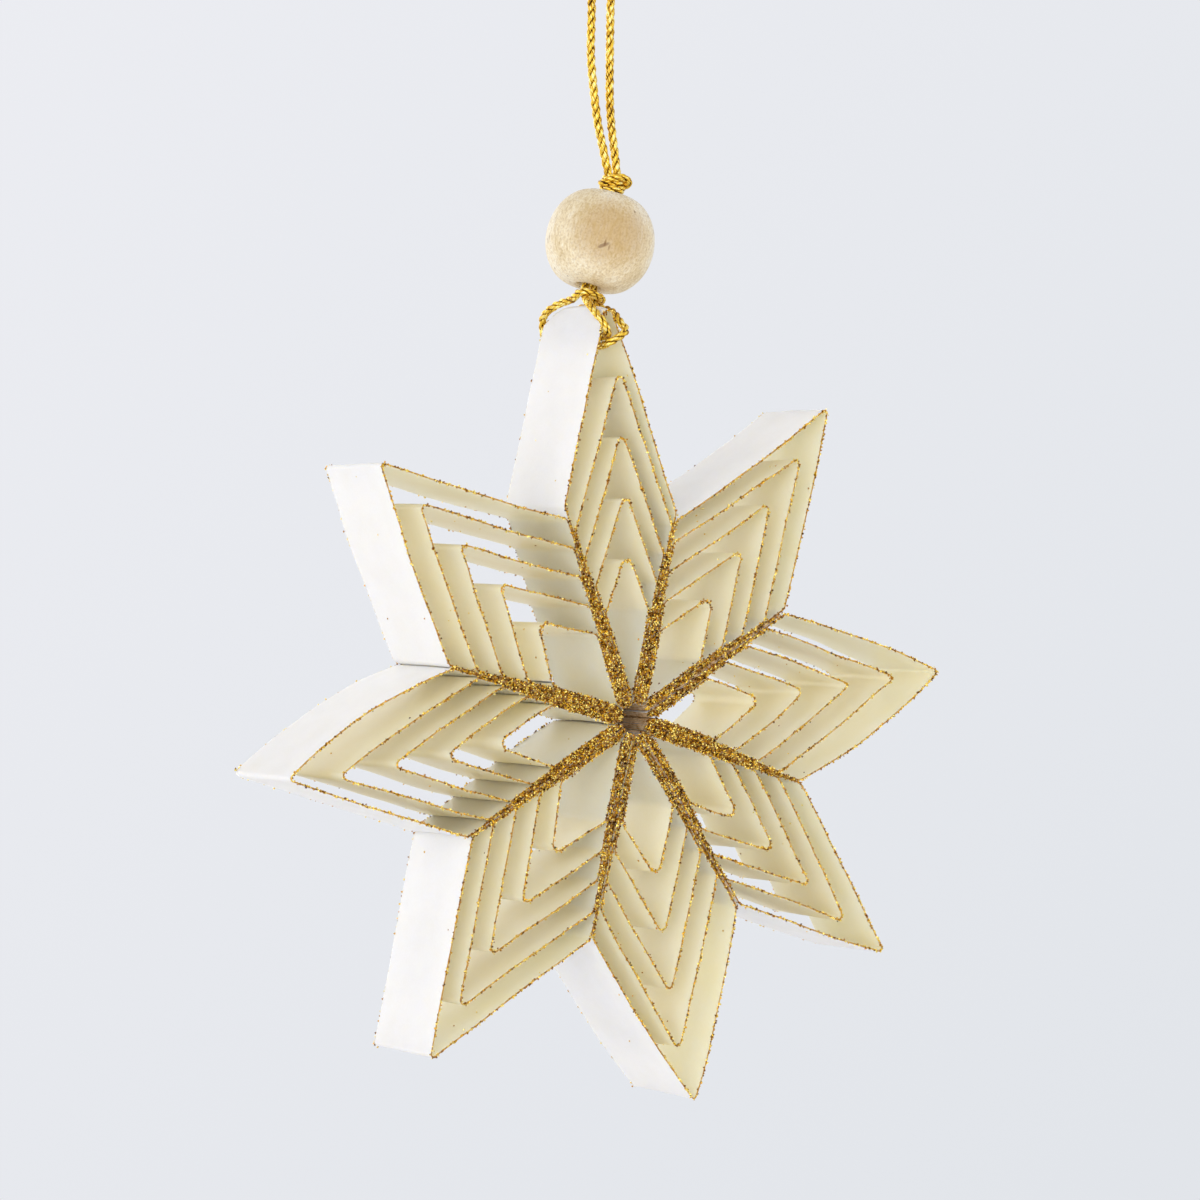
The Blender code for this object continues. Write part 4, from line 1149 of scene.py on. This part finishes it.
def makeGlitterTree():
    # grains stuck to the cut edges that face one way, thick on the spokes and in dashes on the walls
    tree, handles, given = startTree("edgeGlitter", {
        "Facing": "Float", "Density": "Float", "Wall Share": "Float", "Grain": "Float", "Flatness": "Float",
        "Stand": "Float", "Spread": "Float", "Dash Size": "Float", "Stray": "Float", "Seed": "Int",
        "Material": "Material"})
    glued, folded = [
        addNode(tree, "GeometryNodeInputNamedAttribute", {"data_type": "FLOAT"}, {"Name": name})
        for name in ("glued", "folded")]
    # what each grain draws for itself, from a seed of its own
    draws = (
        ("stand", -0.2, 1.0), ("aside", -1.0, 1.0), ("above", -1.0, 1.0), ("size", 0.65, 1.15),
        ("X", 0.0, math.tau), ("Y", 0.0, math.tau), ("Z", 0.0, math.tau), ("tone", 0.0, 0.70))
    drawn = {}
    for salt, (name, low, high) in enumerate(draws, start=1):
        seed = addNode(tree, "ShaderNodeMath", {"operation": "ADD"}, {0: float(salt), 1: given["Seed"]})
        drawn[name] = addNode(tree, "FunctionNodeRandomValue", {"data_type": "FLOAT"}, {
            "Min": low, "Max": high, "Seed": seed})
    normal = addNode(tree, "ShaderNodeSeparateXYZ", links={0: addNode(tree, "GeometryNodeInputNormal")})
    facing = addNode(tree, "ShaderNodeMath", {"operation": "MULTIPLY"}, {
        0: normal.outputs["Y"], 1: given["Facing"]})
    isEdge = addNode(tree, "FunctionNodeCompare", {"operation": "GREATER_THAN"}, {0: facing, 1: 0.7})
    edge = addNode(tree, "GeometryNodeSeparateGeometry", {"domain": "FACE"}, {
        "Geometry": given["Geometry"], "Selection": isEdge})
    # dashes along the walls, fuller at folds, everything on the spokes
    toDashes = addNode(tree, "ShaderNodeMath", {"operation": "DIVIDE"}, {0: 1.0, 1: given["Dash Size"]})
    dashes = addNode(tree, "ShaderNodeTexNoise", links={
        "Vector": addNode(tree, "GeometryNodeInputPosition"), "Scale": toDashes, "Detail": 2.0})
    dashes = addNode(tree, "ShaderNodeMapRange", links={
        "Value": dashes, "From Min": 0.40, "From Max": 0.58, "To Min": 0.15, "To Max": 1.0})
    dashes = addNode(tree, "ShaderNodeMath", {"operation": "MULTIPLY"}, {0: dashes, 1: given["Wall Share"]})
    share = addNode(tree, "ShaderNodeMath", {"operation": "MAXIMUM"}, {0: dashes, 1: glued})
    share = addNode(tree, "ShaderNodeMath", {"operation": "MAXIMUM"}, {0: share, 1: folded})
    thick = addNode(tree, "ShaderNodeMath", {"operation": "MULTIPLY"}, {0: share, 1: given["Density"]})
    thick = addNode(tree, "ShaderNodeMath", {"operation": "MULTIPLY"}, {0: thick, 1: squareMetre})
    points = addNode(tree, "GeometryNodeDistributePointsOnFaces", {"distribute_method": "RANDOM"}, {
        "Mesh": edge, "Density": thick, "Seed": given["Seed"]})
    # grains stand off the edge, and to either side of it, farther on the spokes and folds
    stand = addNode(tree, "ShaderNodeMath", {"operation": "MULTIPLY"}, {0: drawn["stand"], 1: given["Stand"]})
    stand = addNode(tree, "ShaderNodeMath", {"operation": "MULTIPLY"}, {0: stand, 1: given["Facing"]})
    clumped = addNode(tree, "ShaderNodeMath", {"operation": "MAXIMUM"}, {0: glued, 1: folded})
    spread = addNode(tree, "ShaderNodeMapRange", links={"Value": clumped, "To Min": 0.6, "To Max": 1.0})
    spread = addNode(tree, "ShaderNodeMath", {"operation": "MULTIPLY"}, {0: spread, 1: given["Spread"]})
    aside = addNode(tree, "ShaderNodeMath", {"operation": "MULTIPLY"}, {0: drawn["aside"], 1: spread})
    above = addNode(tree, "ShaderNodeMath", {"operation": "MULTIPLY"}, {0: drawn["above"], 1: spread})
    offset = addNode(tree, "ShaderNodeCombineXYZ", links={"X": aside, "Y": stand, "Z": above})
    stuck = addNode(tree, "GeometryNodeSetPosition", links={
        "Geometry": points.outputs["Points"], "Offset": offset})
    # a few stray grains on the faces of the paper
    isFace = addNode(tree, "ShaderNodeMath", {"operation": "ABSOLUTE"}, {0: normal.outputs["Y"]})
    isFace = addNode(tree, "FunctionNodeCompare", {"operation": "LESS_THAN"}, {0: isFace, 1: 0.3})
    sparse = addNode(tree, "ShaderNodeMath", {"operation": "MULTIPLY"}, {0: given["Stray"], 1: squareMetre})
    stray = addNode(tree, "GeometryNodeDistributePointsOnFaces", {"distribute_method": "RANDOM"}, {
        "Mesh": given["Geometry"], "Selection": isFace, "Density": sparse, "Seed": given["Seed"]})
    every = addNode(tree, "GeometryNodeJoinGeometry")
    tree.links.new(stuck.outputs[0], every.inputs[0])
    tree.links.new(stray.outputs["Points"], every.inputs[0])
    grain = addNode(tree, "GeometryNodeMeshUVSphere", links={"Segments": 4, "Rings": 2, "Radius": 0.5})
    flat = addNode(tree, "ShaderNodeCombineXYZ", links={"X": 1.0, "Y": 1.0, "Z": given["Flatness"]})
    grain = addNode(tree, "GeometryNodeTransform", links={"Geometry": grain, "Scale": flat})
    size = addNode(tree, "ShaderNodeMapRange", links={"Value": glued, "To Min": 1.05, "To Max": 1.0})
    size = addNode(tree, "ShaderNodeMath", {"operation": "MULTIPLY"}, {0: size, 1: given["Grain"]})
    size = addNode(tree, "ShaderNodeMath", {"operation": "MULTIPLY"}, {0: size, 1: drawn["size"]})
    turn = addNode(tree, "ShaderNodeCombineXYZ", links={axis: drawn[axis] for axis in "XYZ"})
    grains = addNode(tree, "GeometryNodeInstanceOnPoints", links={
        "Points": every, "Instance": grain, "Rotation": turn, "Scale": size})
    # painted light: the few grains on a wall are given lighter tones than those packed on a spoke, as they
    # catch more light
    tone = addNode(tree, "ShaderNodeMapRange", links={"Value": glued, "To Min": 0.12, "To Max": 0.0})
    tone = addNode(tree, "ShaderNodeMath", {"operation": "ADD"}, {0: tone, 1: drawn["tone"]})
    grains = addNode(tree, "GeometryNodeStoreNamedAttribute", {"data_type": "FLOAT", "domain": "INSTANCE"}, {
        "Geometry": grains, "Name": "grainGlintTone", "Value": tone})
    grains = addNode(tree, "GeometryNodeRealizeInstances", links={"Geometry": grains})
    grains = addNode(tree, "GeometryNodeSetShadeSmooth", links={"Geometry": grains, "Shade Smooth": False})
    for name in ("glued", "folded", "across", "side"):
        grains = addNode(tree, "GeometryNodeRemoveAttribute", links={"Geometry": grains, "Name": name})
    endTree(tree, grains, [(given["Material"], None)])
    return tree, handles


def joinedStrips():
    # all strips in one mesh, with what their points carry
    vertices, faces = [], []
    shares = {"glued": [], "folded": []}
    for strip in strips:
        first = len(vertices)
        vertices += [vertex.co.copy() for vertex in strip.data.vertices]
        faces += [[first + corner for corner in face.vertices] for face in strip.data.polygons]
        for share, values in shares.items():
            values += [item.value for item in strip.data.attributes[share].data]
    mesh = bpy.data.meshes.new("glitter_start")
    mesh.from_pydata(vertices, [], faces)
    for share, values in shares.items():
        mesh.attributes.new(share, "FLOAT", "POINT").data.foreach_set("value", values)
    return mesh


goldGlitter = makeGlitterMaterial()
glitterTree, glitterHandles = makeGlitterTree()
edges = joinedStrips()
for name, facing, seed, wallShare in glitter["sides"]:
    mesh = growMesh(name, edges.copy(), glitterTree, glitterHandles, {
        "Facing": facing, "Density": glitter["density"], "Wall Share": wallShare,
        "Grain": glitter["grain"], "Flatness": glitter["flatness"], "Stand": glitter["stand"],
        "Spread": glitter["spread"], "Dash Size": glitter["dashSize"], "Stray": glitter["stray"],
        "Seed": seed, "Material": goldGlitter})
    addPiece(name, mesh, "star")
    print(f"{name}: {len(mesh.polygons)} faces")
